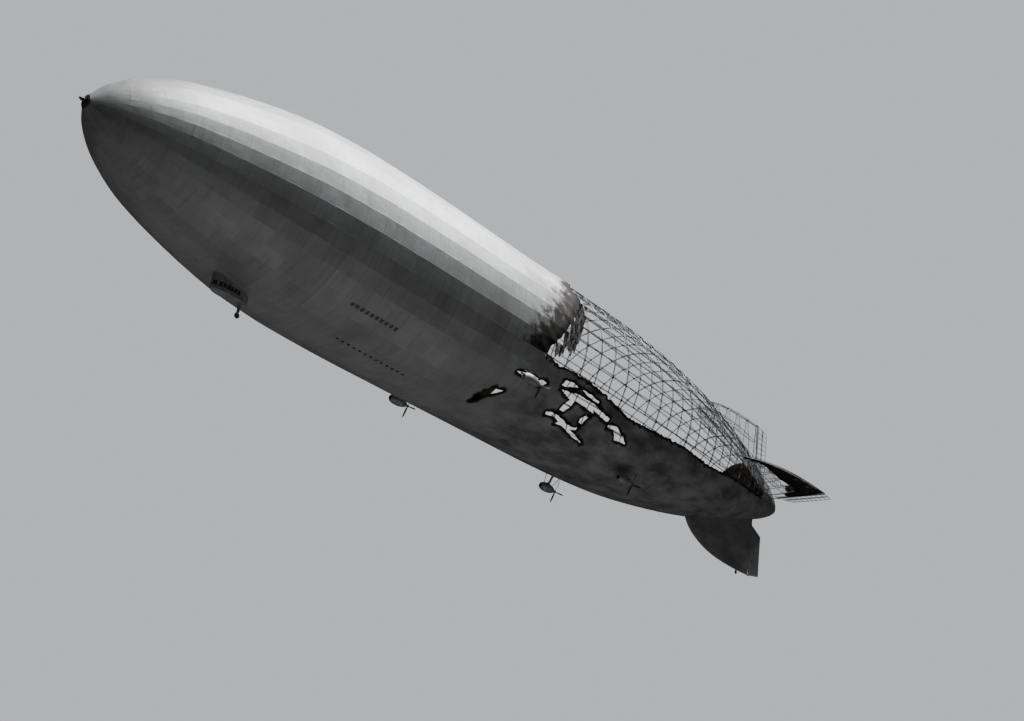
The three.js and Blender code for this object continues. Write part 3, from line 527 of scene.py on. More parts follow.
# Dirt, stains and dust: a cloudy mask between two levels of one noise.
grime_tree, grime_in, grime_out = node_tree(
    "grime", "ShaderNodeTree",
    [("Place", "Vector", None), ("Scale", "Float", 1.0), ("Low", "Float", 0.4), ("High", "Float", 0.7),
     ("Detail", "Float", 6.0)], [("Mask", "Float")])
grime_noise = add_node(grime_tree, "ShaderNodeTexNoise", {
    "Vector": grime_in["Place"], "Scale": grime_in["Scale"], "Detail": grime_in["Detail"], "Roughness": 0.6})
grime_mask = add_node(grime_tree, "ShaderNodeMapRange", {
    "Value": grime_noise.outputs[0], "From Min": grime_in["Low"], "From Max": grime_in["High"]},
    interpolation_type="SMOOTHSTEP")
grime_tree.links.new(grime_mask.outputs[0], grime_out["Mask"])


def grime(tree, place, scale, low=0.4, high=0.7, detail=6.0):
    node = add_node(tree, "ShaderNodeGroup", node_tree=grime_tree)
    for key, value in {"Scale": scale, "Low": low, "High": high, "Detail": detail}.items():
        node.inputs[key].default_value = value
    tree.links.new(place, node.inputs["Place"])
    return node.outputs["Mask"]


def object_place(tree, scale=(1, 1, 1)):
    place = add_node(tree, "ShaderNodeTexCoord").outputs["Object"]
    return add_node(tree, "ShaderNodeMapping", {"Vector": place, "Scale": scale}).outputs[0]


def add_bump(tree, shader, height, distance, strength=1.0):
    bump = add_node(tree, "ShaderNodeBump", {"Height": height, "Distance": distance, "Strength": strength})
    tree.links.new(bump.outputs[0], shader.inputs["Normal"])


def doped_cloth(name, colour, dirt, metallic, roughness):
    """Silver-doped cotton: taped seams, panels of slightly different tone, streaks, soot, painted shade and
    char.
    """
    material, tree, shader = new_material(name, colour, roughness, metallic, specular=0.15)
    calc = sums(tree)
    map_place = add_node(tree, "ShaderNodeUVMap", uv_map="panels").outputs[0]
    seams = add_node(tree, "ShaderNodeGroup", node_tree=seam_tree)
    tree.links.new(map_place, seams.inputs["Map"])
    streak_place = add_node(tree, "ShaderNodeMapping", {
        "Vector": map_place, "Scale": (5.0, 0.35, 1)}).outputs[0]
    streaks = grime(tree, streak_place, 1.2, 0.45, 0.75)
    blotches = grime(tree, object_place(tree), 1.1, 0.42, 0.68)
    fine = grime(tree, object_place(tree), 60, 0.3, 0.7, 3.0)
    toned = mix_colour(tree, calc("MULTIPLY", seams.outputs["Tone"], 0.5), colour, darker(colour, 0.72))
    toned = mix_colour(tree, calc("MULTIPLY", seams.outputs["Tape"], 0.5), toned, TAPE_COLOUR)
    toned = mix_colour(tree, calc("MULTIPLY", streaks, 0.32), toned, dirt)
    toned = mix_colour(tree, calc("MULTIPLY", blotches, 0.30), toned, dirt)
    burn = add_node(tree, "ShaderNodeAttribute", attribute_name="burn").outputs["Fac"]
    soot_and_shade_here = add_node(tree, "ShaderNodeAttribute", attribute_name="smoke").outputs["Fac"]
    wander = calc("MULTIPLY", grime(tree, object_place(tree), 5.0, 0.2, 0.8), 1.3)
    near_fire = add_node(tree, "ShaderNodeMapRange", {
        "Value": calc("SUBTRACT", burn, wander), "From Min": 1.1, "From Max": 0.1},
        interpolation_type="SMOOTHSTEP").outputs[0]
    charred = add_node(tree, "ShaderNodeMapRange", {
        "Value": calc("SUBTRACT", burn, calc("MULTIPLY", wander, 0.25)), "From Min": 0.2, "From Max": 0.0,
    }).outputs[0]
    # This mask darkens the cloth with soot towards the fire, and with painted shade towards the nose of the
    # forward cover.
    soot_and_shade_mask = calc("MULTIPLY", soot_and_shade_here, grime(tree, object_place(tree, (0.5, 1, 1)), 2.2, 0.25, 0.75))
    toned = mix_colour(tree, calc("MULTIPLY", soot_and_shade_mask, 0.8), toned, darker(dirt, 0.25))
    toned = mix_colour(tree, calc("MULTIPLY", near_fire, 0.94), toned, SCORCH_COLOUR)
    toned = mix_colour(tree, charred, toned, CHAR_COLOUR)
    tree.links.new(toned, shader.inputs["Base Color"])
    dull = calc("MAXIMUM", near_fire, calc("MULTIPLY", soot_and_shade_mask, 0.7))
    rough = add_node(tree, "ShaderNodeMapRange", {
        "Value": calc("ADD", dull, calc("MULTIPLY", fine, 0.25)), "To Min": roughness, "To Max": 0.9,
    }).outputs[0]
    tree.links.new(rough, shader.inputs["Roughness"])
    tree.links.new(calc("MULTIPLY", calc("SUBTRACT", 1.0, dull), metallic), shader.inputs["Metallic"])
    ripple = grime(tree, object_place(tree, (0.35, 1, 1)), 14, 0.2, 0.8, 3.0)
    height = calc("ADD", calc("MULTIPLY", seams.outputs["Tape"], 0.5), calc("MULTIPLY", fine, 0.2))
    add_bump(tree, shader, calc("ADD", height, calc("MULTIPLY", ripple, 0.8)), 0.0015)
    return material


def mottled(name, colour, tones, roughness, scale, bump_scale, bump, low=0.4):
    """A dull surface of two tones in clouds, with a fine grain."""
    material, tree, shader = new_material(name, colour, roughness)
    clouds = grime(tree, object_place(tree), scale, low)
    tree.links.new(mix_colour(tree, clouds, *tones), shader.inputs["Base Color"])
    add_bump(tree, shader, grime(tree, object_place(tree), bump_scale, 0.3), bump)
    return material


cover_material = doped_cloth("cover_silver", COVER_COLOUR, COVER_DIRT, 0.35, 0.42)
burnt_material = doped_cloth("cover_smoked", COVER_COLOUR, COVER_DIRT, 0.35, 0.42)
inside_material = mottled("cover_inside", (0.12, 0.105, 0.09, 1), INSIDE_TONES, 0.85, 3.0, 90, 0.0008)

STEP = (PANEL / CUTS, GORE / CUTS)
tear_edge = burnt([(s, a) for a, s in TEAR.items()], seed=3.0)
port_edge = burnt([(108.2, 200), *[(s, port) for s, port, _ in LOWER_EDGE]], seed=5.0)
stbd_edge = burnt([(109, 340), *[(s, stbd) for s, _, stbd in LOWER_EDGE]], seed=7.0)
burnt_holes = [
    burnt([*hole, hole[0]], seed=9.0 + k, bite=0.17, step=0.3)[:-1]
    for k, hole in enumerate(HOLES)]


def smoked(station, angle):
    """How sooty the cover is: more towards the fire."""
    return np.clip((station - SMOKE_FROM) / SMOKE_REACH, 0, 1) ** 1.5


def edge_dark_spread(angle):
    """How much further than usual the dark band along the burnt edge reaches: most on the port side, above
    the curtains.
    """
    return 1.8 + 3.4 * np.clip((angle - 130) / 25, 0, 1)


forward_outline = spaced([(0.55, -90), (JOIN, -90), (JOIN, 270), (0.55, 270), (0.55, -90)], STEP)[:-1]
# The value given here darkens the forward cover towards the nose: this is painted shade, not soot.
cover("cover_forward", forward_outline, [], [], cover_material, lambda s, a: np.clip(0.35 - s / 60, 0, 1),
      ["bow_cap", *[f"envelope_{n}_{h}" for n in ("nose", "bow", "shoulder") for h in ("upper", "lower")]])

middle_outline = np.vstack([
    spaced([(JOIN, -90), (LAP, -90), (LAP, -20), (109, -20)], STEP)[:-1],
    tear_edge,
    spaced([(108.2, 200), (LAP, 200), (LAP, 270), (JOIN, 270), (JOIN, -90)], STEP)[1:-1],
])
cover("cover_middle", middle_outline, [], tear_edge, cover_material, smoked,
      [f"envelope_{n}_{h}" for n in ("middle", "burnt") for h in ("upper", "lower")],
      slack=0.13, spread=edge_dark_spread)

lower_outline = np.vstack([
    spaced([(LAP, 340), (LAP, 200), (108.2, 200)], STEP)[:-1],
    port_edge,
    spaced([(225, 201.5), (225, 338.5)], STEP)[1:-1],
    stbd_edge[::-1],
    spaced([(109, 340), (LAP, 340)], STEP)[1:-1],
])
lower_burns = np.vstack([port_edge[8:], stbd_edge, *burnt_holes])
cover("cover_lower_after", lower_outline, burnt_holes, lower_burns, burnt_material, smoked,
      [f"envelope_lower_{k}" for k in (1, 2, 3, 4)], slack=0.05, spread=lambda angle: 0.6)

tail_outline = spaced([(225.01, -90), (243.9, -90), (243.9, 270), (225.01, 270), (225.01, -90)], STEP)[:-1]
cover("cover_tail", tail_outline, [], [], burnt_material, lambda s, a: np.full(len(s), 0.8), ["tail_cone"])

# Rags of the torn cover: tongues of scorched cotton that hang in folds from the burnt edge and from the
# bare longitudinals behind it, held by what is left of their lacing.
RAG_COLUMNS = 26
RAG_ROWS = 20
RAG_CLOTH = 0.0025
RAG_FOLDS = 3  # half waves across a rag
RAG_GATHER = 0.30  # share by which a rag narrows towards its lower edge
RAG_LEAN = 0.06  # inwards, as a share of the drop
RAG_TEETH = (0.8, 2.1, 4)
RAG_COLOUR = darker(COVER_COLOUR, 0.4)
RAGS = [
    # stations and angles of the two ends of the held edge, drop and depth of the folds in model metres
    ((119.6, 150), (123.2, 150), 0.50, 0.026), ((117.0, 160), (121.4, 160), 0.72, 0.030),
    ((114.8, 170), (119.6, 170), 0.78, 0.032), ((112.6, 180), (116.4, 180), 0.56, 0.028),
    ((110.4, 190), (113.8, 190), 0.34, 0.026), ((108.6, 199), (111.4, 200), 0.20, 0.018),
    ((119.2, 20), (123.4, 20), 0.40, 0.030), ((116.2, 0), (120.4, 0), 0.50, 0.032),
    ((120.6, 100), (123.8, 100), 0.20, 0.020), ((120.8, 60), (124.2, 60), 0.24, 0.020),
]


def faces_of_grid(rows, columns, closed=False):
    """Quads over rows and columns of points, wound so that row x column points out of the page."""
    width = columns if closed else columns - 1
    i, j = np.meshgrid(np.arange(rows - 1), np.arange(width), indexing="ij")
    k = (j + 1) % columns
    return np.stack([i * columns + j, i * columns + k, (i + 1) * columns + k, (i + 1) * columns + j],
                    -1).reshape(-1, 4)


def unit(vector):
    return vector / np.linalg.norm(vector)


def smooth_shade(obj, degrees=40):
    """Shades a piece smooth, with its edges sharper than an angle kept crisp."""
    obj.data.shade_smooth()
    obj.data.set_sharp_from_angle(angle=math.radians(degrees))
    return obj


def hang_rag(number, start, end, drop, fold):
    """One rag: a held edge on the hull, folds that deepen downwards, and a ragged lower edge."""
    across = np.linspace(0, 1, RAG_COLUMNS)
    down = np.linspace(0, 1, RAG_ROWS)
    held = on_hull(start[0] + (end[0] - start[0]) * across, start[1] + (end[1] - start[1]) * across, CLOTH)
    outward = unit(np.cross(held[-1] - held[0], (0, 0, 1)))
    middle = held.mean(0)
    inward = -middle * (0, 1, 0) / abs(middle[1])
    ragged = np.array([0.8 + 0.32 * noise.fractal(Vector((4 * u, 3.1 * number, 0)), *RAG_TEETH)
                       for u in across])
    rows = []
    for v in down:
        wave = np.array([noise.noise(Vector((5.5 * u + number, 0.8 * v, number))) for u in across])
        ripple = np.sin(across * math.pi * RAG_FOLDS + number) * 0.6 + wave * 0.7
        gather = 1 - RAG_GATHER * v
        place = middle + (held - middle) * [gather, gather, 1 - 0.8 * v]
        place = place + inward * (RAG_LEAN * v * drop)
        place = place + outward * (ripple * fold * min(1, 2.2 * v))[:, None]
        rows.append(place - np.outer(ragged * drop * v, (0, 0, 1)))
    points = np.array(rows)
    obj = piece(f"rag_{number}", points.reshape(-1, 3), faces_of_grid(RAG_ROWS, RAG_COLUMNS).tolist(),
                rag_material)
    obj.data.shade_smooth()
    wall(obj, RAG_CLOTH, rag_material, offset=0)
    mount(obj, "hull")


rag_material, rag_tree, rag_shader = new_material("cover_scorched", RAG_COLOUR, 0.8, specular=0.15)
rag_dirt = grime(rag_tree, object_place(rag_tree, (1, 1, 0.4)), 7.0, 0.35, 0.62)
rag_tone = mix_colour(rag_tree, rag_dirt, RAG_COLOUR, SCORCH_COLOUR)
rag_char = grime(rag_tree, object_place(rag_tree), 16.0, 0.5, 0.62)
rag_tree.links.new(mix_colour(rag_tree, rag_char, rag_tone, CHAR_COLOUR), rag_shader.inputs["Base Color"])
add_bump(rag_tree, rag_shader, grime(rag_tree, object_place(rag_tree), 70, 0.3, 0.7), 0.0012)
for number, rag in enumerate(RAGS, 1):
    hang_rag(number, *rag)

# The end wall of the last whole gas cell is lined cotton, blown aft into a shallow dome by its gas. It lies
# against a netting of cord, and creases run in from the ring that holds its edge.
WALL_STATION = 102.4
WALL_BULGE = 1.6
WALL_CLOTH = 0.005
WALL_LIFT = 0.006  # model metres from the wall's surface forward to the cloth, and aft to the netting
WALL_ROWS = 40
WALL_SIDES = 216
CELL_COLOUR = (0.60, 0.55, 0.44, 1)
CELL_STAIN = (0.30, 0.24, 0.16, 1)
CREASES = 18
CREASE_DEPTH = 0.010
CRUMPLE_DEPTH = 0.012
NET_CORD = 0.0014
NET_RINGS = 9
NET_SPOKES = 36


def cell_point(share, angle):
    """A point of the wall, at a share of its radius."""
    share, angle = np.broadcast_arrays(np.asarray(share, float), np.asarray(angle, float))
    rim = np.linalg.norm(on_hull(WALL_STATION, angle, 0.0118)[..., 1:], axis=-1)
    x = at_station(WALL_STATION) + WALL_BULGE * METRE * (1 - share**2) * 0.97
    turn = np.radians(angle)
    return np.stack([x, share * rim * np.cos(turn), share * rim * np.sin(turn)], -1)


wall_turns = np.arange(WALL_SIDES) * 360 / WALL_SIDES
share, angle = np.meshgrid(np.linspace(0.015, 1, WALL_ROWS), wall_turns, indexing="ij")
points = cell_point(share, angle)
crease = np.abs(np.sin(np.radians(angle) * CREASES)) * CREASE_DEPTH * share**3 * (1 - share**8)
crumple = np.array([noise.fractal(Vector(p * 2.2), 0.9, 2.0, 4) for p in points.reshape(-1, 3)])
crumple = CRUMPLE_DEPTH * crumple.reshape(share.shape) * (1 - share**6)
points[..., 0] -= crease + crumple + WALL_LIFT
wall_faces = faces_of_grid(WALL_ROWS, WALL_SIDES, closed=True)[:, ::-1].tolist()
wall_faces.append(list(range(WALL_SIDES)))
cell_material = mottled("gas_cell_cotton", CELL_COLOUR, (CELL_COLOUR, CELL_STAIN), 0.8, 1.6, 80, 0.001, 0.35)
cell_wall = smooth_shade(piece("gas_cell_end", points.reshape(-1, 3), wall_faces, cell_material), 60)
wall(cell_wall, WALL_CLOTH, cell_material)
mount(cell_wall, "hull", ["gas_cell_wall"])

# The tree that makes bars, tubes and wires along lines: a round section swept along each.
rod_tree, rod_in, rod_out = shape_tree("rods_on_lines", [
    ("Radius", "Float", 0.001), ("Sides", "Int", 4), ("Smooth", "Bool", False)])
rod_lines = add_node(rod_tree, "GeometryNodeMeshToCurve", {"Mesh": rod_in[0]}).outputs[0]
rod_ring = add_node(rod_tree, "GeometryNodeCurvePrimitiveCircle",
                    {"Resolution": rod_in["Sides"], "Radius": rod_in["Radius"]}).outputs[0]
rod_tube = add_node(rod_tree, "GeometryNodeCurveToMesh",
                    {"Curve": rod_lines, "Profile Curve": rod_ring, "Fill Caps": True}).outputs[0]
rod_shaded = add_node(rod_tree, "GeometryNodeSetShadeSmooth",
                      {"Geometry": rod_tube, "Shade Smooth": rod_in["Smooth"]}, domain="FACE").outputs[0]
finish_shape(rod_tree, rod_shaded, rod_in, rod_out)


def rods(name, lines, radius, material, sides=4, body="hull", nodes=(), smooth=False):
    """Rods along lines. An entry of lines is one line of points, or an array of like lines."""
    points, edges, start = [], [], 0
    for group in lines:
        group = np.asarray(group, float)
        group = group.reshape(-1, *group.shape[-2:])
        index = start + np.arange(group.shape[0] * group.shape[1]).reshape(group.shape[:2])
        points.append(group.reshape(-1, 3))
        edges.append(np.stack([index[:, :-1], index[:, 1:]], -1).reshape(-1, 2))
        start += index.size
    obj = piece(name, np.vstack(points), [], edges=np.vstack(edges))
    grow(obj, rod_tree, radius=radius, sides=sides, smooth=smooth, material=material)
    mount(obj, body, nodes)


def around(count):
    """Even turns round a full circle."""
    return np.linspace(0, 2 * math.pi, count, endpoint=False)


def from_axis(points):
    """The way straight out from the hull's axis at each point."""
    out = points * (0, 1, 1)
    return out / np.linalg.norm(out, axis=1)[:, None]


def truss(lines, straight=False):
    """The chords of lattice girders and their zigzag braces. lines is (girder, chord, point, 3)."""
    lines = np.asarray(lines, float)
    lines = lines[None] if lines.ndim == 3 else lines
    odd = (np.arange(lines.shape[2]) % 2 == 1)[:, None]
    chords = lines[:, :, [0, -1]] if straight else lines
    return [chords, np.where(odd, np.roll(lines, -1, axis=1), lines)]


def girders(ends, width, depth, bays):
    """The lattice of straight three-chord girders between pairs of points, apex towards the axis."""
    ends = np.asarray(ends, float)
    way = ends[:, 1] - ends[:, 0]
    out = from_axis(ends.mean(1))
    side = np.cross(way, out)
    side /= np.linalg.norm(side, axis=1)[:, None]
    t = np.linspace(0, 1, 2 * bays + 1)[:, None]
    line = ends[:, None, 0] + way[:, None] * t
    shifts = [side * width / 2, -side * width / 2, -out * depth]
    return truss(np.stack([line + shift[:, None] for shift in shifts], 1), straight=True)


def light_metal(name, colour, worn, roughness, metallic, scale, bump_scale=120.0, bump=0.0006):
    """A metal or painted surface: two tones in clouds, duller where it is dirty, with a fine grain."""
    material, tree, shader = new_material(name, colour, roughness, metallic)
    clouds = grime(tree, object_place(tree), scale, 0.38, 0.66)
    tree.links.new(mix_colour(tree, clouds, colour, worn), shader.inputs["Base Color"])
    rough = add_node(tree, "ShaderNodeMapRange", {
        "Value": clouds, "To Min": roughness, "To Max": min(1.0, roughness + 0.25)}).outputs[0]
    tree.links.new(rough, shader.inputs["Roughness"])
    add_bump(tree, shader, grime(tree, object_place(tree), bump_scale, 0.3, 0.7, 3.0), bump)
    return material


net_material = light_metal("netting", (0.24, 0.20, 0.14, 1), (0.10, 0.08, 0.06, 1), 0.9, 0.0, 6.0)
net_lift = (WALL_LIFT, 0, 0)
net_circle = np.linspace(0, 360, 2 * NET_SPOKES + 1)
net_rings = [cell_point(r, net_circle) + net_lift for r in np.linspace(0.1, 0.97, NET_RINGS)]
net_turns = range(0, 360, 360 // NET_SPOKES)
net_spokes = [cell_point(np.linspace(0.02, 0.985, 14), a) + net_lift for a in net_turns]
rods("gas_cell_netting", net_rings + net_spokes, NET_CORD, net_material, sides=3)

# The bare frame is riveted aluminium alloy: lattice girders of three channel chords with zigzag braces
# between them. Main rings stand every 13 to 17 m, two lighter rings between each pair, and longitudinals
# join them. Crossed wires brace each bay. What is left in the open is blued and sooty from the fire.
RINGS = [105, 121.5, 138, 153, 168, 183, 198, 211.5, 225]
KEEL = [220, 240, 260, 270, 280, 300, 320]
GIRDER_TOP = 0.0150  # model metres from the cover's surface down to the girders
GIRDER_DEPTH = 0.026
RING_WIDTH = 0.029
LONG_WIDTH = 0.025
CHORD = 0.0052
BRACE = 0.0033
WIRE = 0.0006
WIRE_DEPTH = 0.012  # model metres from the girders' top down to the wires
RING_HALF = 0.15  # the ship's metres by which the end rings stand inside the bare stretch
RING_BAYS = 3
LONG_BAYS = 4
LIGHT_WIDTH = 0.018
LIGHT_DEPTH = 0.022
LIGHT_CHORD = 0.0042
LIGHT_BRACE = 0.0025
FRAME_COLOUR = (0.17, 0.175, 0.185, 1)
FRAME_SOOT = (0.035, 0.034, 0.034, 1)
frame_material = light_metal("girder_alloy", FRAME_COLOUR, FRAME_SOOT, 0.5, 0.75, 4.0)
bare_angles = np.arange(-20, 201, 10)
ring_rows = [RINGS[0] + RING_HALF, *RINGS[1:-1], RINGS[-1] - RING_HALF]


def ring_ends(station, angles, depth=GIRDER_TOP):
    """The two ends of each straight side of a ring."""
    corners = on_hull(station, np.asarray(angles, float), depth)
    return np.stack([corners[:-1], corners[1:]], 1)


def split_truss(groups):
    """The chords' lines and the braces' lines of several trusses."""
    return [g[0] for g in groups], [g[1] for g in groups]


main_rings = [girders(ring_ends(s, np.arange(0, 361, 10)), RING_WIDTH, GIRDER_DEPTH, RING_BAYS)
              for s in ring_rows]
chords, braces = split_truss(main_rings)
rods("frame_rings", chords, CHORD, frame_material, nodes=[f"stern_frame_{k}" for k in range(1, 9)])
rods("frame_ring_braces", braces, BRACE, frame_material, sides=3)

light_rows = [s for a, b in zip(RINGS, RINGS[1:]) for s in np.linspace(a, b, 4)[1:-1]]
light_rings = [girders(ring_ends(s, bare_angles), LIGHT_WIDTH, LIGHT_DEPTH, RING_BAYS) for s in light_rows]
chords, braces = split_truss(light_rings)
rods("frame_light_rings", chords, LIGHT_CHORD, frame_material, sides=3)
rods("frame_light_braces", braces, LIGHT_BRACE, frame_material, sides=3)

all_rows = sorted([*RINGS, *light_rows])
long_ends = []
for a in [*bare_angles, *KEEL]:
    line = on_hull(np.array(all_rows), a, GIRDER_TOP)
    long_ends.append(np.stack([line[:-1], line[1:]], 1))
chords, braces = girders(np.vstack(long_ends), LONG_WIDTH, GIRDER_DEPTH, LONG_BAYS)
rods("frame_longitudinals", [chords], CHORD * 0.9, frame_material, sides=4)
rods("frame_longitudinal_braces", [braces], BRACE, frame_material, sides=3)

wires = []
for s0, s1 in zip(all_rows, all_rows[1:]):
    low, high = [on_hull(s, bare_angles, GIRDER_TOP + WIRE_DEPTH) for s in (s0, s1)]
    wires += [np.stack([low[:-1], high[1:]], 1), np.stack([low[1:], high[:-1]], 1)]
wire_material = light_metal("brace_wire", (0.22, 0.22, 0.22, 1), (0.06, 0.06, 0.06, 1), 0.4, 0.9, 8.0)
rods("frame_wires", wires, WIRE, wire_material, sides=3)

# Gusset plates stand where the longitudinals cross the rings, each riveted to the girders' chords.
GUSSET = [(-1, -0.5), (-0.5, -1), (0.5, -1), (1, -0.5), (1, 0.5), (0.5, 1), (-0.5, 1), (-1, 0.5)]
GUSSET_HALF = 0.021
GUSSET_THICK = 0.0012
unit_gusset = np.array([(x * GUSSET_HALF, y * GUSSET_HALF, z) for z in (0, GUSSET_THICK) for x, y in GUSSET])
gusset_sides = [[k, (k + 1) % 8, 8 + (k + 1) % 8, 8 + k] for k in range(8)]
gusset_faces = [list(range(7, -1, -1)), list(range(8, 16)), *gusset_sides]


def placed_copies(name, shape, places, outs, material, body="hull", ways=None):
    """Copies of one small shape set on a surface by a Geometry Nodes tree, square to it."""
    places, outs = np.asarray(places, float), np.asarray(outs, float)
    ways = np.broadcast_to(np.array([1.0, 0, 0]), places.shape) if ways is None else np.asarray(ways, float)
    sample = piece(name + "_one", *shape)
    obj = piece(name, places, [])
    for key, vectors in {"out": outs, "way": ways}.items():
        obj.data.attributes.new(key, "FLOAT_VECTOR", "POINT").data.foreach_set(
            "vector", vectors.astype(np.float32).ravel())
    grow(obj, copy_tree, shape=sample, scale=1.0, material=material)
    bpy.data.objects.remove(sample)
    mount(obj, body)


copy_tree, copy_in, copy_out = shape_tree("copies_on_points", [
    ("Shape", "Object", None), ("Scale", "Float", 1.0)])
copy_shape = add_node(copy_tree, "GeometryNodeObjectInfo", {"Object": copy_in["Shape"]}).outputs["Geometry"]
copy_out_way, copy_way = [
    add_node(copy_tree, "GeometryNodeInputNamedAttribute", {"Name": key}, data_type="FLOAT_VECTOR").outputs[0]
    for key in ("out", "way")]
copy_turn = add_node(copy_tree, "FunctionNodeAxesToRotation", {0: copy_out_way, 1: copy_way},
                     primary_axis="Z", secondary_axis="X").outputs[0]
copies = add_node(copy_tree, "GeometryNodeInstanceOnPoints", {
    "Points": copy_in[0], "Instance": copy_shape, "Rotation": copy_turn, "Scale": copy_in["Scale"],
}).outputs[0]
finish_shape(copy_tree, copies, copy_in, copy_out)

knots = np.vstack([on_hull(s, bare_angles, GIRDER_TOP - CHORD) for s in all_rows[1:-1]])
placed_copies("frame_gussets", (unit_gusset, gusset_faces), knots, from_axis(knots), frame_material)

# The mooring cone is a turned steel nose fitting: a stepped cone bolted through its flange to the bow's
# first ring, with a spindle at its tip for the mast's cup.
CONE_SIDES = 48
CONE_PROFILE = [
    (-1.0, 0.001), (-1.0, 0.017), (-0.97, 0.021), (-0.9, 0.021), (-0.86, 0.026), (-0.5, 0.032),
    (-0.46, 0.040), (-0.38, 0.040), (-0.34, 0.036), (-0.1, 0.042), (-0.06, 0.052), (0.02, 0.058),
    (0.1, 0.070), (0.22, 0.098), (0.32, 0.112), (0.36, 0.124), (0.44, 0.1285), (0.495, 0.1285),
    (0.495, 0.100), (0.75, 0.098), (0.75, 0.001),
]
CONE_BOLTS = 24
CONE_BOLT_CIRCLE = 0.119
BOLT_SIDES = 6


def close_shape(obj, degrees=40):
    """Merges a closed shape's doubled points, turns its faces outwards and shades it."""
    shape = bmesh.new()
    shape.from_mesh(obj.data)
    bmesh.ops.remove_doubles(shape, verts=shape.verts, dist=1e-6)
    bmesh.ops.recalc_face_normals(shape, faces=shape.faces)
    shape.to_mesh(obj.data)
    shape.free()
    return smooth_shade(obj, degrees)


def loft(name, loops, material, degrees=40):
    """A closed shape through a row of like loops of points, capped at both ends."""
    loops = np.asarray(loops, float)
    rows, count = loops.shape[:2]
    faces = faces_of_grid(rows, count, closed=True).tolist()
    faces += [list(range(count))[::-1], list(range((rows - 1) * count, rows * count))]
    return close_shape(piece(name, loops.reshape(-1, 3), faces, material), degrees)


def turned_loops(profile, sides, place, axis):
    """Rings of points from (along, radius) pairs turned about an axis."""
    t = np.arange(sides) / sides * 2 * math.pi
    along, radius = np.array(profile, float).T[:, :, None]
    parts = [np.broadcast_to(along, (len(profile), sides)), radius * np.cos(t), radius * np.sin(t)]
    return np.stack(parts if axis == "x" else [parts[1], parts[0], parts[2]], -1) + place


def lathe(name, profile, sides, material, degrees=35, place=(0, 0, 0), axis="x"):
    """A closed shape of (along, radius) points turned about an axis."""
    return loft(name, turned_loops(profile, sides, place, axis), material, degrees)


def join_pieces(name, parts):
    """Joins pieces into one and gives it a name."""
    with bpy.context.temp_override(active_object=parts[0], selected_editable_objects=parts):
        bpy.ops.object.join()
    parts[0].name = parts[0].data.name = name
    return parts[0]


def bolt_shape(radius, rise, sides=BOLT_SIDES):
    """A small domed bolt or rivet head standing on the origin."""
    t = np.arange(sides) / sides * 2 * math.pi
    rings = [(radius, -0.2 * rise), (radius, 0.6 * rise), (radius * 0.6, rise)]
    points = [(r * math.cos(a), r * math.sin(a), z) for r, z in rings for a in t]
    faces = faces_of_grid(3, sides, closed=True).tolist()
    return points, faces + [list(range(sides))[::-1], list(range(2 * sides, 3 * sides))]


def bolt_circle(name, centre, radius, count, size, body):
    """Bolts in a circle about a line along X, their heads forward."""
    turns = np.radians(np.arange(count) * 360 / count)
    places = np.stack([np.zeros(count), radius * np.cos(turns), radius * np.sin(turns)], -1) + centre
    placed_copies(name, bolt_shape(*size), places, np.tile((-1.0, 0, 0), (count, 1)), fitting_material,
                  body, ways=np.tile((0.0, 1, 0), (count, 1)))


fitting_material = light_metal(
    "fitting_steel", (0.20, 0.205, 0.21, 1), (0.07, 0.068, 0.065, 1), 0.38, 0.85, 9.0)
cone = lathe("bow_cone", [(at_station(x), r) for x, r in CONE_PROFILE], CONE_SIDES, fitting_material)
mount(cone, "hull", ["mooring_cone"])
bolt_circle("bow_cone_bolts", (at_station(0.36), 0, 0), CONE_BOLT_CIRCLE, CONE_BOLTS, (0.0042, 0.004),
            "hull")

# The stern is closed by a spun aluminium cap screwed over the end of the cover, with the stern light in it.
CAP_PROFILE = [
    (243.7, 0.001), (243.7, 0.110), (243.98, 0.112), (244.0, 0.1295), (244.12, 0.124), (244.4, 0.100),
    (244.66, 0.072), (244.8, 0.052), (244.84, 0.040), (244.92, 0.036), (244.97, 0.026), (245.0, 0.001),
]
car_material = light_metal("car_silver_paint", (0.42, 0.43, 0.45, 1), (0.30, 0.295, 0.285, 1), 0.38, 0.4, 7.0,
                           90.0, 0.00012)
tail_cap = lathe("stern_cap", [(at_station(x), r) for x, r in CAP_PROFILE], CONE_SIDES, car_material)
mount(tail_cap, "hull", ["tail_cap"])

# The control car is a sheet-aluminium cabin riveted to a light frame and hung under the hull. Its skin
# tucks in round the floor, and a band of windows in alloy bars runs round it.
CAR_PLAN = [
    (33.9, 0.02), (34.02, 0.33), (34.3, 0.62), (35.1, 1.0), (36.4, 1.22), (38.6, 1.25), (40.4, 1.12),
    (41.7, 0.8), (42.5, 0.4), (42.8, 0.02),
]
CAR_MIDDLE, CAR_HALF_LENGTH = 38.3, 4.6
CAR_KEEL_RISE = 0.42  # by which the keel curves up at the car's ends
CAR_BOTTOM = -20.8
CAR_SILL = -19.75
CAR_HEAD = -18.95
CAR_WINDOWS = [35.35, 36.2, 37.05, 37.9, 38.75, 39.6]
CAR_WINDOW = 0.68
NOSE_WINDOW = (34.0, 34.62)
CAR_SKIN = 0.0045
CAR_TUCK = [(0.0, 0.0), (0.5, 0.01), (0.78, 0.06), (0.92, 0.16), (0.985, 0.32), (1.0, 0.55)]
WINDOW_BAR = 0.0022
GLASS_INSET = 0.05
GLASS_THICK = 0.002
GLASS_END = 40.6  # station where the glass ends
RAIL_Z = -20.35
RAIL = 0.0016
RIVET_STEP = 0.16
car_line = smooth_line(CAR_PLAN)
window_edges = [e for s in CAR_WINDOWS for e in (s - CAR_WINDOW / 2, s + CAR_WINDOW / 2)]
car_stations = np.array(sorted({
    *np.round(np.linspace(CAR_PLAN[0][0], CAR_PLAN[-1][0], 60), 3), *np.round(window_edges, 3), *NOSE_WINDOW,
}))


def car_half(station):
    return np.interp(station, car_line[:, 0], car_line[:, 1])


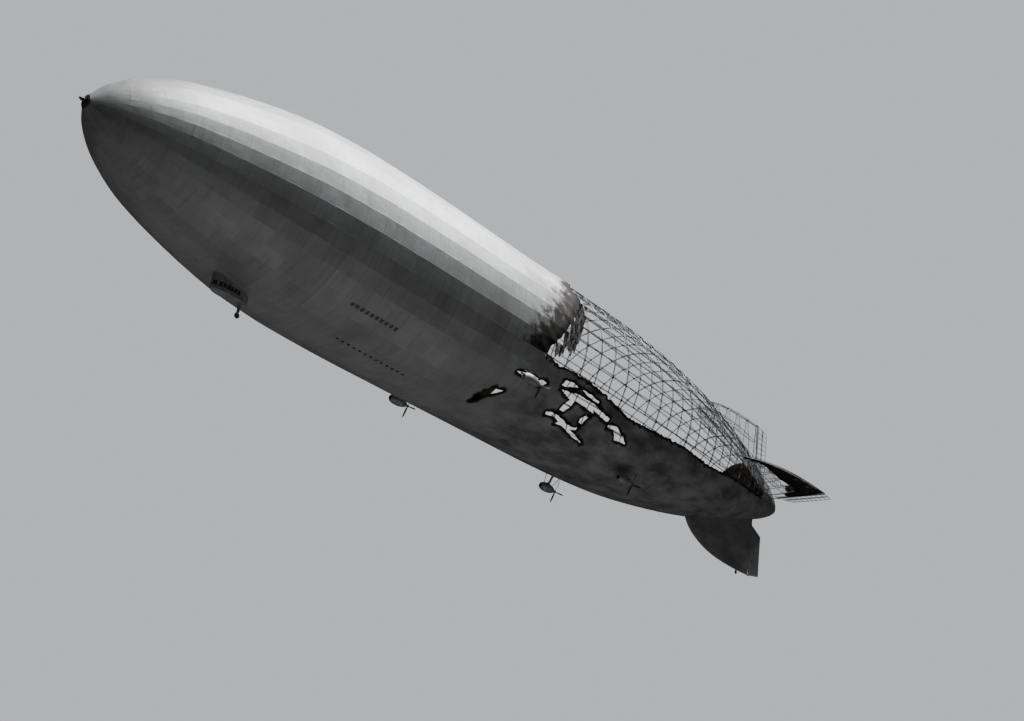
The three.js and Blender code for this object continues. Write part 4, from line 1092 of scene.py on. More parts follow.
def car_section(station, inset=0.0):
    """Half of the car's skin at a station, from its keel up to the hull, in the ship's metres."""
    half = max(car_half(station) - inset, 0.02)
    keel = CAR_BOTTOM + CAR_KEEL_RISE * abs((station - CAR_MIDDLE) / CAR_HALF_LENGTH) ** 6
    top = -hull_radius(station) * math.cos(math.radians(5)) + 0.07
    low = [(half * x, keel + z * (CAR_SILL - 0.3 - keel) / 0.75) for x, z in CAR_TUCK]
    return np.array(low + [(half, CAR_SILL), (half, CAR_HEAD), (half, (CAR_HEAD + top) / 2), (half, top)])


def car_window(station):
    """Whether a station lies in one of the side windows or in the windows of the nose."""
    in_side = any(abs(station - s) < CAR_WINDOW / 2 for s in CAR_WINDOWS)
    return in_side or NOSE_WINDOW[0] < station < NOSE_WINDOW[1]


def car_skin(name, inset, rows, keep, material):
    """The car's skin, or a band of it, over both sides, without the cells that keep refuses."""
    sections = np.array([car_section(s, inset)[rows] for s in car_stations])
    both = np.concatenate([sections[:, ::-1] * (-1, 1), sections[:, 1:] if rows.start == 0 else sections], 1)
    count = both.shape[1]
    x = np.repeat(at_station(car_stations), count)
    points = np.column_stack([x, both.reshape(-1, 2) * METRE])
    cells = faces_of_grid(len(car_stations), count).reshape(len(car_stations) - 1, count - 1, 4)
    middles = (car_stations[:-1] + car_stations[1:]) / 2
    kept = [cells[i, j].tolist() for i in range(len(middles)) for j in range(count - 1)
            if keep(middles[i], j)]
    return piece(name, points, kept, material)


BAND = len(CAR_TUCK)  # the row of the skin at the windows' sill
TOP_ROW = BAND + 3
band_columns = {TOP_ROW - BAND - 1, TOP_ROW + BAND}
car = car_skin("control_cabin", 0.0, slice(0, None),
               lambda s, j: not (j in band_columns and car_window(s)), car_material)
smooth_shade(car, 50)
wall(car, CAR_SKIN, car_material)
mount(car, "hull", ["control_car"])
glass_material, glass_tree, glass_shader = new_material("cabin_glass", (0.12, 0.14, 0.16, 1), 0.06)
glass_shader.inputs["Transmission Weight"].default_value = 0.6
glass_dust = grime(glass_tree, object_place(glass_tree), 12.0, 0.3, 0.8)
glass_rough = add_node(glass_tree, "ShaderNodeMapRange", {
    "Value": glass_dust, "To Min": 0.04, "To Max": 0.16})
glass_tree.links.new(glass_rough.outputs[0], glass_shader.inputs["Roughness"])
panes = car_skin("cabin_glass", GLASS_INSET, slice(BAND, BAND + 2),
                 lambda s, j: j != 1 and s < GLASS_END, glass_material)
wall(panes, GLASS_THICK, glass_material)
mount(panes, "hull", ["control_car_glass"])


def car_side(station, z, side, out=0.0):
    return [at_station(station), side * (car_half(station) * METRE + out), z * METRE]


bars = []
for side in (-1, 1):
    for s0, s1 in [NOSE_WINDOW, *zip(window_edges[::2], window_edges[1::2])]:
        run = np.linspace(s0, s1, 5)
        frame_line = [(s, CAR_SILL) for s in run] + [(s, CAR_HEAD) for s in run[::-1]] + [(s0, CAR_SILL)]
        bars.append(np.array([car_side(s, z, side) for s, z in frame_line]))
        bars.append(np.array([car_side((s0 + s1) / 2, z, side) for z in (CAR_SILL, CAR_HEAD)]))
    for z in (CAR_SILL - 0.07, CAR_HEAD + 0.07):
        bars.append(np.array([car_side(s, z, side, 0.0008) for s in car_stations[2:-2]]))
rods("cabin_window_bars", bars, WINDOW_BAR, fitting_material, sides=6, smooth=True)
rails = []
for side in (-1, 1):
    run = np.linspace(35.0, 41.2, 16)
    rail = np.array([car_side(s, RAIL_Z, side, 0.007) for s in run])
    rails.append(rail)
    rails += [np.array([p, p - (0, side * 0.010, -0.004)]) for p in rail[::3]]
rods("cabin_hand_rails", rails, RAIL, fitting_material, sides=6, smooth=True)
rivets = np.array([
    car_side(s, z, side, 0.0002) for side in (-1, 1) for z in (CAR_SILL - 0.16, CAR_HEAD + 0.16)
    for s in np.arange(34.4, 42.3, RIVET_STEP)])
placed_copies("cabin_rivets", bolt_shape(0.0011, 0.0008), rivets, np.sign(rivets) * (0, 1, 0),
              car_material)


def refinish(node, material):
    """Gives a solid that stays a better material."""
    slots = bpy.data.objects[node].data.materials
    slots.clear()
    slots.append(material)


for helm in ("rudder_helm", "elevator_helm"):
    refinish(helm, fitting_material)

# Each landing wheel is a balloon tyre on a spun alloy hub, turning on an axle between two fork plates. The
# forward leg is a faired strut under the car, and the after one comes out of the lower fin.
WHEELS = {
    "landing": {"station": 41.1, "z": -23.1, "radius": 0.56, "width": 0.34},
    "tail": {"station": 226.4, "z": -22.95, "radius": 0.48, "width": 0.3},
}
WHEEL_SIDES = 64
WHEEL_BORE = 0.0064
AXLE = 0.0058
PLATE_CLEAR = 0.005
PLATE_THICK = 0.008
BRIDGE_HALF = 0.013  # model metres by which the fork's bridge is wider than the wheel, each side
BRIDGE_RISE = 0.020
TYRE = [  # share of half the width, share of the radius
    (-0.72, 0.50), (-0.86, 0.58), (-0.99, 0.70), (-0.99, 0.80), (-0.88, 0.91), (-0.68, 0.975), (-0.60, 0.99),
    (-0.57, 0.97), (-0.50, 0.97), (-0.47, 0.998), (-0.22, 1.0), (-0.19, 0.975), (-0.10, 0.975), (-0.07, 1.0),
    (0.07, 1.0), (0.10, 0.975), (0.19, 0.975), (0.22, 1.0), (0.47, 0.998), (0.50, 0.97), (0.57, 0.97),
    (0.60, 0.99), (0.68, 0.975), (0.88, 0.91), (0.99, 0.80), (0.99, 0.70), (0.86, 0.58), (0.72, 0.50),
]
HUB = [
    (-0.62, 0.50), (-0.70, 0.46), (-0.60, 0.42), (-0.38, 0.34), (-0.36, 0.22), (-0.70, 0.17), (-0.72, None),
    (0.72, None), (0.70, 0.17), (0.36, 0.22), (0.38, 0.34), (0.60, 0.42), (0.70, 0.46), (0.62, 0.50),
]
RUBBER_TONES = (0.035, 0.034, 0.033, 1), (0.13, 0.12, 0.10, 1)
rubber_material = mottled("tyre_rubber", (0.045, 0.044, 0.043, 1), RUBBER_TONES, 0.85, 25.0, 300, 0.0004)


def ring_shape(name, profile, sides, material, place, axis="y"):
    """A closed ring of (along, radius) points turned about an axis, with a hole through it."""
    loops = turned_loops([*profile, profile[0]], sides, place, axis)
    faces = faces_of_grid(len(loops), sides, closed=True).tolist()
    return close_shape(piece(name, loops.reshape(-1, 3), faces, material), 35)


def fork(name, wheel, rise, material):
    """A wheel's fork with its axle, and the faired leg above it."""
    r, w = wheel["radius"] * METRE, wheel["width"] * METRE / 2
    centre = np.array([at_station(wheel["station"]), 0, wheel["z"] * METRE])
    turn = around(24)
    plate = [(0.011 * math.cos(a), 0.012 * math.sin(a) + (r + 0.014 if math.sin(a) > 0 else 0)) for a in turn]
    parts = []
    for side in (-1, 1):
        depths = (0, PLATE_THICK)
        loops = [[(x, side * (w + PLATE_CLEAR + depth), z) for x, z in plate] for depth in depths]
        parts.append(loft("plate", np.array(loops) + centre, material))
    bridge = [(0.016 * math.cos(a), 0.008 * math.sin(a)) for a in turn]
    loops = [[(x, y, r + BRIDGE_RISE + z) for x, z in bridge] for y in (-w - BRIDGE_HALF, w + BRIDGE_HALF)]
    parts.append(loft("bridge", np.array(loops) + centre, material))
    leg = np.stack([0.046 * np.cos(turn) + 0.010 * np.cos(2 * turn) + 0.004,
                    0.016 * np.sin(turn) * (1 - 0.35 * np.cos(turn))], -1)
    heights = np.linspace(r + BRIDGE_RISE, rise, 8)
    loops = [[(x * k, y * k, z) for x, y in leg] for z, k in zip(heights, np.linspace(0.62, 1, 8) ** 0.7)]
    parts.append(loft("leg", np.array(loops) + centre, material))
    axle = [(-w - 0.0145, 0.004), (-w - 0.0135, AXLE), (w + 0.0135, AXLE), (w + 0.0145, 0.004)]
    parts.append(lathe("axle", axle, 20, material, place=centre, axis="y"))
    return join_pieces(name, parts)


def wheel_pieces(name, wheel):
    """The tyre and hub of one wheel, on its own body."""
    r, w = wheel["radius"] * METRE, wheel["width"] * METRE / 2
    centre = (at_station(wheel["station"]), 0, wheel["z"] * METRE)
    tyre = ring_shape(f"{name}_tyre", [(a * w, b * r) for a, b in TYRE], WHEEL_SIDES, rubber_material, centre)
    profile = [(a * w, WHEEL_BORE if b is None else b * r) for a, b in HUB]
    hub = ring_shape(f"{name}_hub", profile, WHEEL_SIDES, car_material, centre)
    mount(tyre, f"{name}_wheel", [f"{name}_wheel"])
    mount(hub, f"{name}_wheel")


landing, tail_wheel = WHEELS["landing"], WHEELS["tail"]
leg = fork("landing_strut", landing, (CAR_BOTTOM - landing["z"]) * METRE + 0.004, car_material)
mount(leg, "hull", ["landing_leg"])
wheel_pieces("landing", landing)
wheel_pieces("tail", tail_wheel)

# The four engine cars are streamlined nacelles of sheet aluminium over ring frames. Each has a radiator in
# its nose, riveted bands over its joints, cooling louvres, a hatch and exhaust stubs.
ENGINE_CARS = [("fwd_port", 105, 217), ("fwd_stbd", 105, 323), ("aft_port", 153, 241), ("aft_stbd", 153, 299)]
CAR_OFFSET = 3.15
POD = [(0, 0.46), (0.15, 0.68), (0.7, 0.95), (1.8, 1.12), (3.2, 1.06), (4.5, 0.78), (5.65, 0.3)]
POD_ORIGIN = 2.4
POD_WALL = 0.006
POD_SIDES = 48
SHAFT_HOLE = 0.0124
POD_BANDS = (-0.170, -0.065, 0.055, 0.150, 0.245)
BAND_SECTION = [(-0.004, 0.0001), (-0.0035, 0.0009), (0.0035, 0.0009), (0.004, 0.0001)]
LOUVRE_TURNS = (62, 78, 282, 298)
HATCH_ENDS, HATCH_TURNS = (-0.052, 0.044), (222, 258)
EXHAUSTS = (-0.030, 0.000, 0.030)
EXHAUST_TURNS = (118, 242)
RADIATOR = 0.0415
LIP = 0.0435
SLATS = 11
pod_line = (smooth_line(POD, 8) - (POD_ORIGIN, 0)) * METRE
NOSE, TAIL_END = pod_line[0, 0], pod_line[-1, 0]


def pod_radius(x):
    return np.interp(x, pod_line[:, 0], pod_line[:, 1])


def pod_point(place, x, turn, out=0.0):
    """A point on a nacelle, turn degrees round from the way to the hull's axis."""
    inward = -np.array([0, place[1], place[2]]) / np.hypot(*place[1:])
    across = np.array([0, -inward[2], inward[1]])
    radius = pod_radius(x) + out
    a = math.radians(turn)
    return np.array(place) + (x, 0, 0) + radius * (math.cos(a) * inward + math.sin(a) * across)


def pod_out(place, x, turn):
    return unit(pod_point(place, x, turn, 0.01) - pod_point(place, x, turn))


def wedge(half_length, half_width, rise):
    """A louvre: a slanted hood that is open aft."""
    a, b = half_length, half_width
    points = [(-a, -b, 0), (-a, b, 0), (a, b, 0), (a, -b, 0), (a, 0.85 * b, rise), (a, -0.85 * b, rise)]
    return points, [[0, 5, 4, 1], [1, 4, 2], [0, 3, 5], [3, 2, 4, 5], [0, 1, 2, 3]]


def on_pod(name, shape, place, marks, out=0.0):
    """Copies of a small shape at (x, turn) marks on a nacelle."""
    spots = [pod_point(place, x, t, out) for x, t in marks]
    placed_copies(name, shape, spots, [pod_out(place, x, t) for x, t in marks], car_material)


core_material, core_tree, core_shader = new_material("radiator_core", (0.05, 0.05, 0.048, 1), 0.6, 0.7)
core_cells = add_node(core_tree, "ShaderNodeTexVoronoi", {"Vector": object_place(core_tree), "Scale": 260.0})
core_tree.links.new(mix_colour(core_tree, core_cells.outputs["Distance"], (0.015, 0.015, 0.015, 1),
                               (0.14, 0.13, 0.11, 1)), core_shader.inputs["Base Color"])
add_bump(core_tree, core_shader, core_cells.outputs["Distance"], 0.001)
exhaust_material = light_metal("exhaust_steel", (0.16, 0.11, 0.08, 1), (0.05, 0.04, 0.035, 1), 0.6, 0.7, 20.0)
engine_material = light_metal("engine_block", (0.10, 0.10, 0.105, 1), (0.03, 0.03, 0.03, 1), 0.5, 0.6, 12.0)
pod_places = {}
for name, station, angle in ENGINE_CARS:
    distance = (float(hull_radius(station)) + CAR_OFFSET) * METRE
    turn = math.radians(angle)
    place = np.array([at_station(station), distance * math.cos(turn), distance * math.sin(turn)])
    pod_places[name] = place
    inner = [(x, max(r - POD_WALL, SHAFT_HOLE)) for x, r in pod_line[::-1]]
    inner[0] = (TAIL_END, SHAFT_HOLE)
    inner.insert(1, (TAIL_END - POD_WALL, SHAFT_HOLE))
    nacelle = ring_shape(f"nacelle_{name}", [*pod_line.tolist(), *inner], POD_SIDES, car_material, place, "x")
    mount(nacelle, "hull", [f"engine_car_{name}"])
    bands = []
    for x in POD_BANDS:
        shape = [(x + a, pod_radius(x + a) + rise) for a, rise in BAND_SECTION]
        shape.append((x, pod_radius(x) - 0.002))
        bands.append(ring_shape("band", shape, POD_SIDES, car_material, place, "x"))
    lip = [(NOSE + 0.0025 * math.cos(a), LIP + 0.0035 * math.sin(a)) for a in around(12)]
    bands.append(ring_shape("lip", lip, POD_SIDES, car_material, place, "x"))
    trim = join_pieces(f"nacelle_bands_{name}", bands)
    mount(trim, "hull")
    front, back = NOSE + 0.012, NOSE + 0.022
    core_profile = [(front, 0.0005), (front, RADIATOR), (back, RADIATOR), (back, 0.0005)]
    core = lathe(f"radiator_{name}", core_profile, 40, core_material, place=place)
    mount(core, "hull")
    slats = []
    for y in np.linspace(-0.036, 0.036, SLATS):
        half = math.sqrt(0.0405**2 - y**2)
        slats.append(np.array([(NOSE + 0.005, y, -half), (NOSE + 0.005, y, half)]) + place)
    rods(f"radiator_slats_{name}", slats, 0.0011, fitting_material, sides=6, smooth=True)
    louvres = [(x, t) for t in LOUVRE_TURNS for x in np.arange(-0.050, 0.050, 0.013)]
    on_pod(f"nacelle_louvres_{name}", wedge(0.004, 0.012, 0.0028), place, louvres)
    rivets = [(x, t) for x in POD_BANDS for t in range(0, 360, 12)]
    on_pod(f"nacelle_rivets_{name}", bolt_shape(0.0009, 0.0007), place, rivets, 0.0009)
    hatch_points = np.array([[pod_point(place, x, t, 0.0012) for t in np.linspace(*HATCH_TURNS, 10)]
                             for x in np.linspace(*HATCH_ENDS, 8)])
    hatch_faces = faces_of_grid(*hatch_points.shape[:2]).tolist()
    hatch = piece(f"nacelle_hatch_{name}", hatch_points.reshape(-1, 3), hatch_faces, car_material)
    smooth_shade(hatch, 60)
    wall(hatch, 0.0015, car_material)
    mount(hatch, "hull")
    pipes = []
    for x in EXHAUSTS:
        for t in EXHAUST_TURNS:
            root, tip = pod_point(place, x, t, -0.004), pod_point(place, x, t, 0.014)
            out = pod_out(place, x, t)
            pipes.append([root, tip, tip + out * 0.004 + (0.007, 0, 0), tip + out * 0.005 + (0.018, 0, 0)])
    rods(f"exhausts_{name}", pipes, 0.0042, exhaust_material, sides=12, smooth=True)
    refinish(f"engine_{name}", engine_material)

# Each engine car hangs from the hull on streamlined tubes that spring from a saddle over the nacelle, with
# a faired ladder amidships and crossed wires between the tubes. Plates spread their load on the hull.
SADDLE = 0.112
SADDLE_TURN = 69
SADDLE_SECTION = [  # along the nacelle and out from its middle, where None is the nacelle's skin
    (-0.058, None), (-0.060, SADDLE + 0.004), (-0.054, SADDLE + 0.009), (-0.030, SADDLE + 0.0075),
    (0.020, SADDLE + 0.0065), (0.046, SADDLE + 0.006), (0.052, SADDLE + 0.002), (0.050, None),
]
TUBE = (0.020, 0.013)
LADDER = (0.084, 0.030)
FEET = [(-0.050, 0.090, -0.150, 0.100), (-0.050, -0.090, -0.150, -0.100), (0.042, 0.090, 0.150, 0.100),
        (0.042, -0.090, 0.150, -0.100)]
WIRED = [(0, 1), (2, 3), (0, 2), (1, 3)]  # pairs of tubes with crossed wires between them
LADDER_AFT = (0.004, 0, 0)
tear_turns = around(20)


def tear_section(length, width):
    """A streamlined section: its round nose forward, its narrow tail aft."""
    fore = -np.cos(tear_turns) * length / 2
    return np.stack([fore, np.sin(tear_turns) * width / 2 * (1 - 0.42 * fore / (length / 2)) * 0.86], -1)


def to_hull(start, way):
    """Where a line from a point outside meets the cover."""
    low, high = 0.0, 0.5
    for _ in range(30):
        middle = (low + high) / 2
        p = start + way * middle
        angle = math.degrees(math.atan2(p[2], p[1]))
        surface = np.linalg.norm(on_hull(p[0] / METRE + ORIGIN_STATION, angle)[1:])
        low, high = (middle, high) if np.hypot(p[1], p[2]) > surface else (low, middle)
    return start + way * (low + 0.001)


def faired_bar(start, end, section, material):
    way = unit(end - start)
    side = unit(np.cross(way, (1, 0, 0)))
    fore = np.cross(side, way)
    loops = [[p + fore * f + side * s for f, s in section] for p in (start, (start + end) / 2, end)]
    return loft("bar", loops, material)


for name, place in pod_places.items():
    inward = -place * (0, 1, 1) / np.hypot(*place[1:])
    across = np.array([0, -inward[2], inward[1]])
    arc = np.radians(np.linspace(-SADDLE_TURN, SADDLE_TURN, 30))
    loops = []
    for a in arc:
        out = math.cos(a) * inward + math.sin(a) * across
        loops.append([place + (x, 0, 0) + out * (r or pod_radius(x) + 0.0006) for x, r in SADDLE_SECTION])
    parts = [loft("saddle", loops, car_material)]
    tubes = []
    for x0, v0, x1, v1 in FEET:
        u0 = math.sqrt((SADDLE + 0.003) ** 2 - v0**2)
        start = place + (x0, 0, 0) + inward * u0 + across * v0
        aim = place + (x1, 0, 0) + inward * (CAR_OFFSET * METRE) + across * v1
        end = to_hull(start, unit(aim - start))
        parts.append(faired_bar(start, end, tear_section(*TUBE), car_material))
        tubes.append((start, end))
    top = place + inward * (SADDLE + 0.004)
    foot = to_hull(top, inward)
    parts.append(faired_bar(top + LADDER_AFT, foot + LADDER_AFT, tear_section(*LADDER), car_material))
    struts = join_pieces(f"strut_set_{name}", parts)
    mount(struts, "hull", [f"struts_{name}"])
    wires = [np.array([tubes[a][0], tubes[b][1]]) for pair in WIRED for a, b in (pair, pair[::-1])]
    rods(f"strut_wires_{name}", wires, 0.0007, wire_material, sides=4)
    feet = np.array([end for _, end in tubes])
    placed_copies(f"strut_plates_{name}", bolt_shape(0.020, 0.0022, 20), feet, from_axis(feet), car_material)

# The pusher propellers have four blades of laminated wood, glued up in steps, varnished and sheathed with
# metal along their outer leading edges. A steel hub and a spun nose cap clamp them on the engine's shaft.
PROP_X = 0.362
PROP_BLADE = [(0.16, 0.26, 0.17, 62), (1.1, 0.42, 0.12, 42), (2.3, 0.36, 0.06, 25), (2.95, 0.1, 0.03, 20)]
PROP_TURN = 24
PROP_HUB = [
    (0.1250, 0.0005), (0.1250, 0.012), (0.334, 0.012), (0.335, 0.019), (0.338, 0.0235), (0.345, 0.024),
    (0.372, 0.024), (0.380, 0.0225), (0.392, 0.0172), (0.402, 0.0105), (0.4085, 0.0042), (0.410, 0.0005),
]
PROP_BOLTS = 8
PROP_BOLT_CIRCLE = 0.0175
BLADE_FORE = 0.006  # model metres from the hub's middle forward to the blades'
SHEATH_FROM = 1.3  # radius where the metal sheath starts, in the ship's metres
blade_turns = around(22)
sheath_turns = np.radians(np.linspace(-48, 48, 9))
wood_material, wood_tree, wood_shader = new_material("laminated_wood", (0.07, 0.042, 0.026, 1), 0.3)
wood_shader.inputs["Coat Weight"].default_value = 0.4
wood_waves = add_node(wood_tree, "ShaderNodeTexWave", {
    "Vector": object_place(wood_tree), "Scale": 34.0, "Distortion": 1.6, "Detail": 3.0},
    bands_direction="X").outputs["Fac"]
wood_grain = grime(wood_tree, object_place(wood_tree, (8, 1, 1)), 40, 0.3, 0.7)
wood_tone = mix_colour(wood_tree, wood_waves, (0.036, 0.021, 0.013, 1), (0.095, 0.058, 0.035, 1))
wood_tree.links.new(mix_colour(wood_tree, sums(wood_tree)("MULTIPLY", wood_grain, 0.4), wood_tone,
                               (0.03, 0.015, 0.01, 1)), wood_shader.inputs["Base Color"])
add_bump(wood_tree, wood_shader, wood_grain, 0.0004)


def blade_section(blade, turns, grow=0.0):
    """Points round one section of a blade that points up, its leading edge towards +Y."""
    radius, chord, thick, pitch = blade
    c, t, p = chord * METRE / 2 + grow, thick * METRE / 2 + grow, math.radians(pitch)
    u = c * np.cos(turns)
    v = t * np.sin(turns) * (1 + 0.3 * np.cos(turns)) * np.where(np.sin(turns) < 0, 0.55, 0.95)
    return np.stack([u * math.sin(p) + v * math.cos(p), u * math.cos(p) - v * math.sin(p),
                     np.full(len(turns), radius * METRE)], -1)


def about_x(points, degrees):
    """Points turned about the X axis."""
    a = math.radians(degrees)
    x, y, z = np.moveaxis(np.asarray(points, float), -1, 0)
    return np.stack([x, y * math.cos(a) - z * math.sin(a), y * math.sin(a) + z * math.cos(a)], -1)


blade_rows = smooth_line(PROP_BLADE, 8)
for name, place in pod_places.items():
    blades, sheaths = [], []
    spot = place + (PROP_X - BLADE_FORE, 0, 0)
    loops = np.array([blade_section(row, blade_turns) for row in blade_rows])
    edge = np.array([blade_section(row, sheath_turns, 0.0003) for row in blade_rows
                     if row[0] > SHEATH_FROM])
    for k in range(4):
        blades.append(loft("blade", about_x(loops, PROP_TURN + 90 * k) + spot, wood_material, 60))
        points = (about_x(edge, PROP_TURN + 90 * k) + spot).reshape(-1, 3)
        faces = faces_of_grid(*edge.shape[:2]).tolist()
        sheaths.append(piece("sheath", points, faces, fitting_material))
    blades = join_pieces(f"propeller_blades_{name}", blades)
    mount(blades, f"propeller_{name}", [f"propeller_{name}"])
    sheaths = smooth_shade(join_pieces(f"propeller_edges_{name}", sheaths), 70)
    wall(sheaths, 0.0006, fitting_material, offset=0)
    hub = lathe(f"propeller_hub_{name}", PROP_HUB, 40, fitting_material, place=place)
    for obj in (sheaths, hub):
        mount(obj, f"propeller_{name}")
    bolt_circle(f"propeller_bolts_{name}", place + (PROP_X - 0.024, 0, 0), PROP_BOLT_CIRCLE, PROP_BOLTS,
                (0.0020, 0.0022), f"propeller_{name}")

# The fins are built like the hull, of lattice spars and ribs with cotton laced over them. The upper one is
# bare, the port one keeps its cloth along its outer edge, and the lower and starboard ones are whole.
FIN = [
    (198.4, 15.35, 0.14), (200.5, 17.3, 0.6), (204.5, 19.3, 1.05), (210.5, 21, 1.5), (218, 21.9, 1.75),
    (226, 22.2, 1.45), (232.6, 22.2, 0.62),
]
FIN_SPAN = [(0, 1), (0.3, 0.86), (0.6, 0.68), (1, 0.16)]
FIN_SPARS = [201.6, 206.2, 210.8, 216.2, 221.6, 227, 232.3]
FIN_RIBS = [0.02, 0.34, 0.66, 0.965]
FIN_BAR = 0.22
FIN_CLOTH = 0.003
FIN_SAG = 0.004
FIN_ROWS, FIN_COLUMNS = 70, 46
END_FLAT = (1, 0.02, 1)  # draws a cover's last row in to close its end
WHOLE_SMOKE = 0.7
RIB_SPACES = 9  # taped ribs over a fin's span
ROOT_LAP = -0.03  # share of the span by which a whole fin's cloth runs in under the hull's
TAIL_TURNS = {"upper": 0, "port": 90, "lower": 180, "stbd": 270}  # degrees about X from standing upright
HINGE = 233.42
GIRDER_IN = 0.06  # the ship's metres from a fin's surface in to its girders
RIB_IN = 0.05
WIRE_IN = 0.1
PATCH_ENDS = (199.4, 232.5)
PATCH_INNER = [  # stations and shares of the span along the burnt edge of the port fin's cloth
    (232.5, 0.36), (229.5, 0.33), (227.2, 0.38), (226.6, 0.64), (221.6, 0.67), (216, 0.64), (211, 0.69),
    (206.4, 0.78), (203, 0.80), (200.6, 0.74), (199.4, 0.5),
]
STRIP_ROWS, STRIP_COLUMNS = 50, 5
LUG_HALF = 0.013
LUG_REACH = 0.14
LUG_THICK = 0.012
LUG_CLEAR = 0.0053
PIN_HOLE = 0.0065
fin_line = smooth_line(FIN, 10)


def fin_place(station, share, side=1.0, shift=0.0, down=0.0):
    """Points of an upright fin's surface at shares of its span.

    shift moves them outwards along the span and down moves them in from the surface, in the ship's metres.
    """
    station, share, side = np.broadcast_arrays(*[np.asarray(v, float) for v in (station, share, side)])
    outer, half = [np.interp(station, fin_line[:, 0], fin_line[:, k]) for k in (1, 2)]
    base = hull_radius(station)
    thick = half * np.interp(share, *np.array(FIN_SPAN).T) - down
    reach = base + (outer - base) * share + shift
    return np.stack([at_station(station), side * thick * METRE, reach * METRE], -1)


def fin_turn(points, name):
    return about_x(points, TAIL_TURNS[name])


def fin_map(station, share):
    """The cloth's own map: one unit to a spar's bay and one to a rib's."""
    along = np.interp(station, [198.4, *FIN_SPARS, 233], np.arange(len(FIN_SPARS) + 2))
    return along, np.maximum(share, 0) * RIB_SPACES


def cloth_piece(name, points, faces, maps, values, material, body="hull", node=None):
    """A sheet of cover with its own map, laced over its frame and given its thickness inwards."""
    obj = piece(name, points, faces, material)
    corner = loop_points(obj.data)
    set_map(obj.data, *[np.asarray(part, float).ravel()[corner] for part in maps])
    set_values(obj.data, values)
    smooth_shade(obj, 38)
    wall(obj, FIN_CLOTH, inside_material)
    mount(obj, body, [node] if node else ())


def unburnt(count, smoke):
    """The values of cloth that lies away from every burnt edge."""
    return {"burn": np.full(count, NO_EDGE), "smoke": np.full(count, smoke)}


def whole_fin(name):
    """A fin's whole cover, in one cut round its outer edge, with its ends closed over the end spars."""
    stations = np.unique(np.round([*np.linspace(FIN[0][0], FIN[-1][0], FIN_ROWS), *FIN_SPARS], 3))
    shares = np.linspace(ROOT_LAP, 1, FIN_COLUMNS)
    girth = np.concatenate([shares, shares[::-1]])
    sides = np.repeat([-1.0, 1.0], FIN_COLUMNS)
    rows, maps = [], []
    for s in stations:
        along, across = fin_map(s, girth)
        sag = FIN_SAG * PEAK * (along % 1) * (1 - along % 1) * (across % 1) * (1 - across % 1)
        rows.append(fin_place(s, girth, sides, down=sag / METRE))
        maps.append((np.full(len(girth), along), across))
    closed = [rows[0] * END_FLAT, *rows, rows[-1] * END_FLAT]
    maps = np.array([maps[0], *maps, maps[-1]])
    points = fin_turn(np.array(closed), name)
    faces = faces_of_grid(*points.shape[:2])[:, ::-1].tolist()
    cloth_piece(f"fin_cover_{name}", points.reshape(-1, 3), faces, (maps[:, 0], maps[:, 1]),
                unburnt(points.size // 3, WHOLE_SMOKE), burnt_material, node=f"fin_{name}")


def tail_rods(kind, name, groups, node, body="hull"):
    """The rods of a bare fin, rudder or elevator. The first group of lines stands for its solid."""
    for k, (part, lines, radius) in enumerate(groups):
        rods(f"{kind}_{part}_{name}", [fin_turn(line, name) for line in lines], radius,
             wire_material if part == "wires" else frame_material, sides=3 if k else 4, body=body,
             nodes=() if k else (node,))


def fin_frame(name):
    """Spars, ribs, edge and wires of a bare fin."""
    wires, light = [], []
    bar = FIN_BAR / 2
    span, length = np.linspace(0, 1, 25), np.linspace(FIN_SPARS[0], FIN_SPARS[-1], 45)
    runs = [(s, span, bar, 0) for s in FIN_SPARS] + [(length, share, 0, bar) for share in FIN_RIBS]
    chords, braces = split_truss([
        truss([fin_place(s + a * wide, share, side, a * tall, GIRDER_IN) for a, side in CORNERS])
        for s, share, wide, tall in runs])
    for share in np.arange(1, RIB_SPACES) / RIB_SPACES:
        stations = np.linspace(199.2 + 1.4 * (1 - share), 232.3, 41)
        pair = np.array([fin_place(stations, share, side, down=RIB_IN) for side in (-1, 1)])
        light += [pair, pair[:, 1:-1:2].swapaxes(0, 1)]
    rim = np.linspace(198.5, 232.5, 60)
    rim_pair = np.array([fin_place(rim, 1.0, side) for side in (-1, 1)])
    lead = np.array([fin_place(198.5, np.linspace(0, 1, 12), side) for side in (-1, 1)])
    post = np.array([fin_place(232.55, np.linspace(0, 1, 20), side) for side in (-1, 1)])
    chords += [rim_pair, lead, post]
    braces += [rim_pair[:, ::2].swapaxes(0, 1), post[:, ::2].swapaxes(0, 1)]
    for side in (-1, 1):
        for s0, s1 in zip(FIN_SPARS, FIN_SPARS[1:]):
            for v0, v1 in zip(FIN_RIBS, FIN_RIBS[1:]):
                wires += [fin_place(pair, (v0, v1), side, down=WIRE_IN) for pair in ((s0, s1), (s1, s0))]
    groups = [("girders", chords, 0.0046), ("braces", braces, 0.0027), ("ribs", light, 0.0023),
              ("wires", wires, WIRE)]
    tail_rods("fin", name, groups, f"fin_{name}")


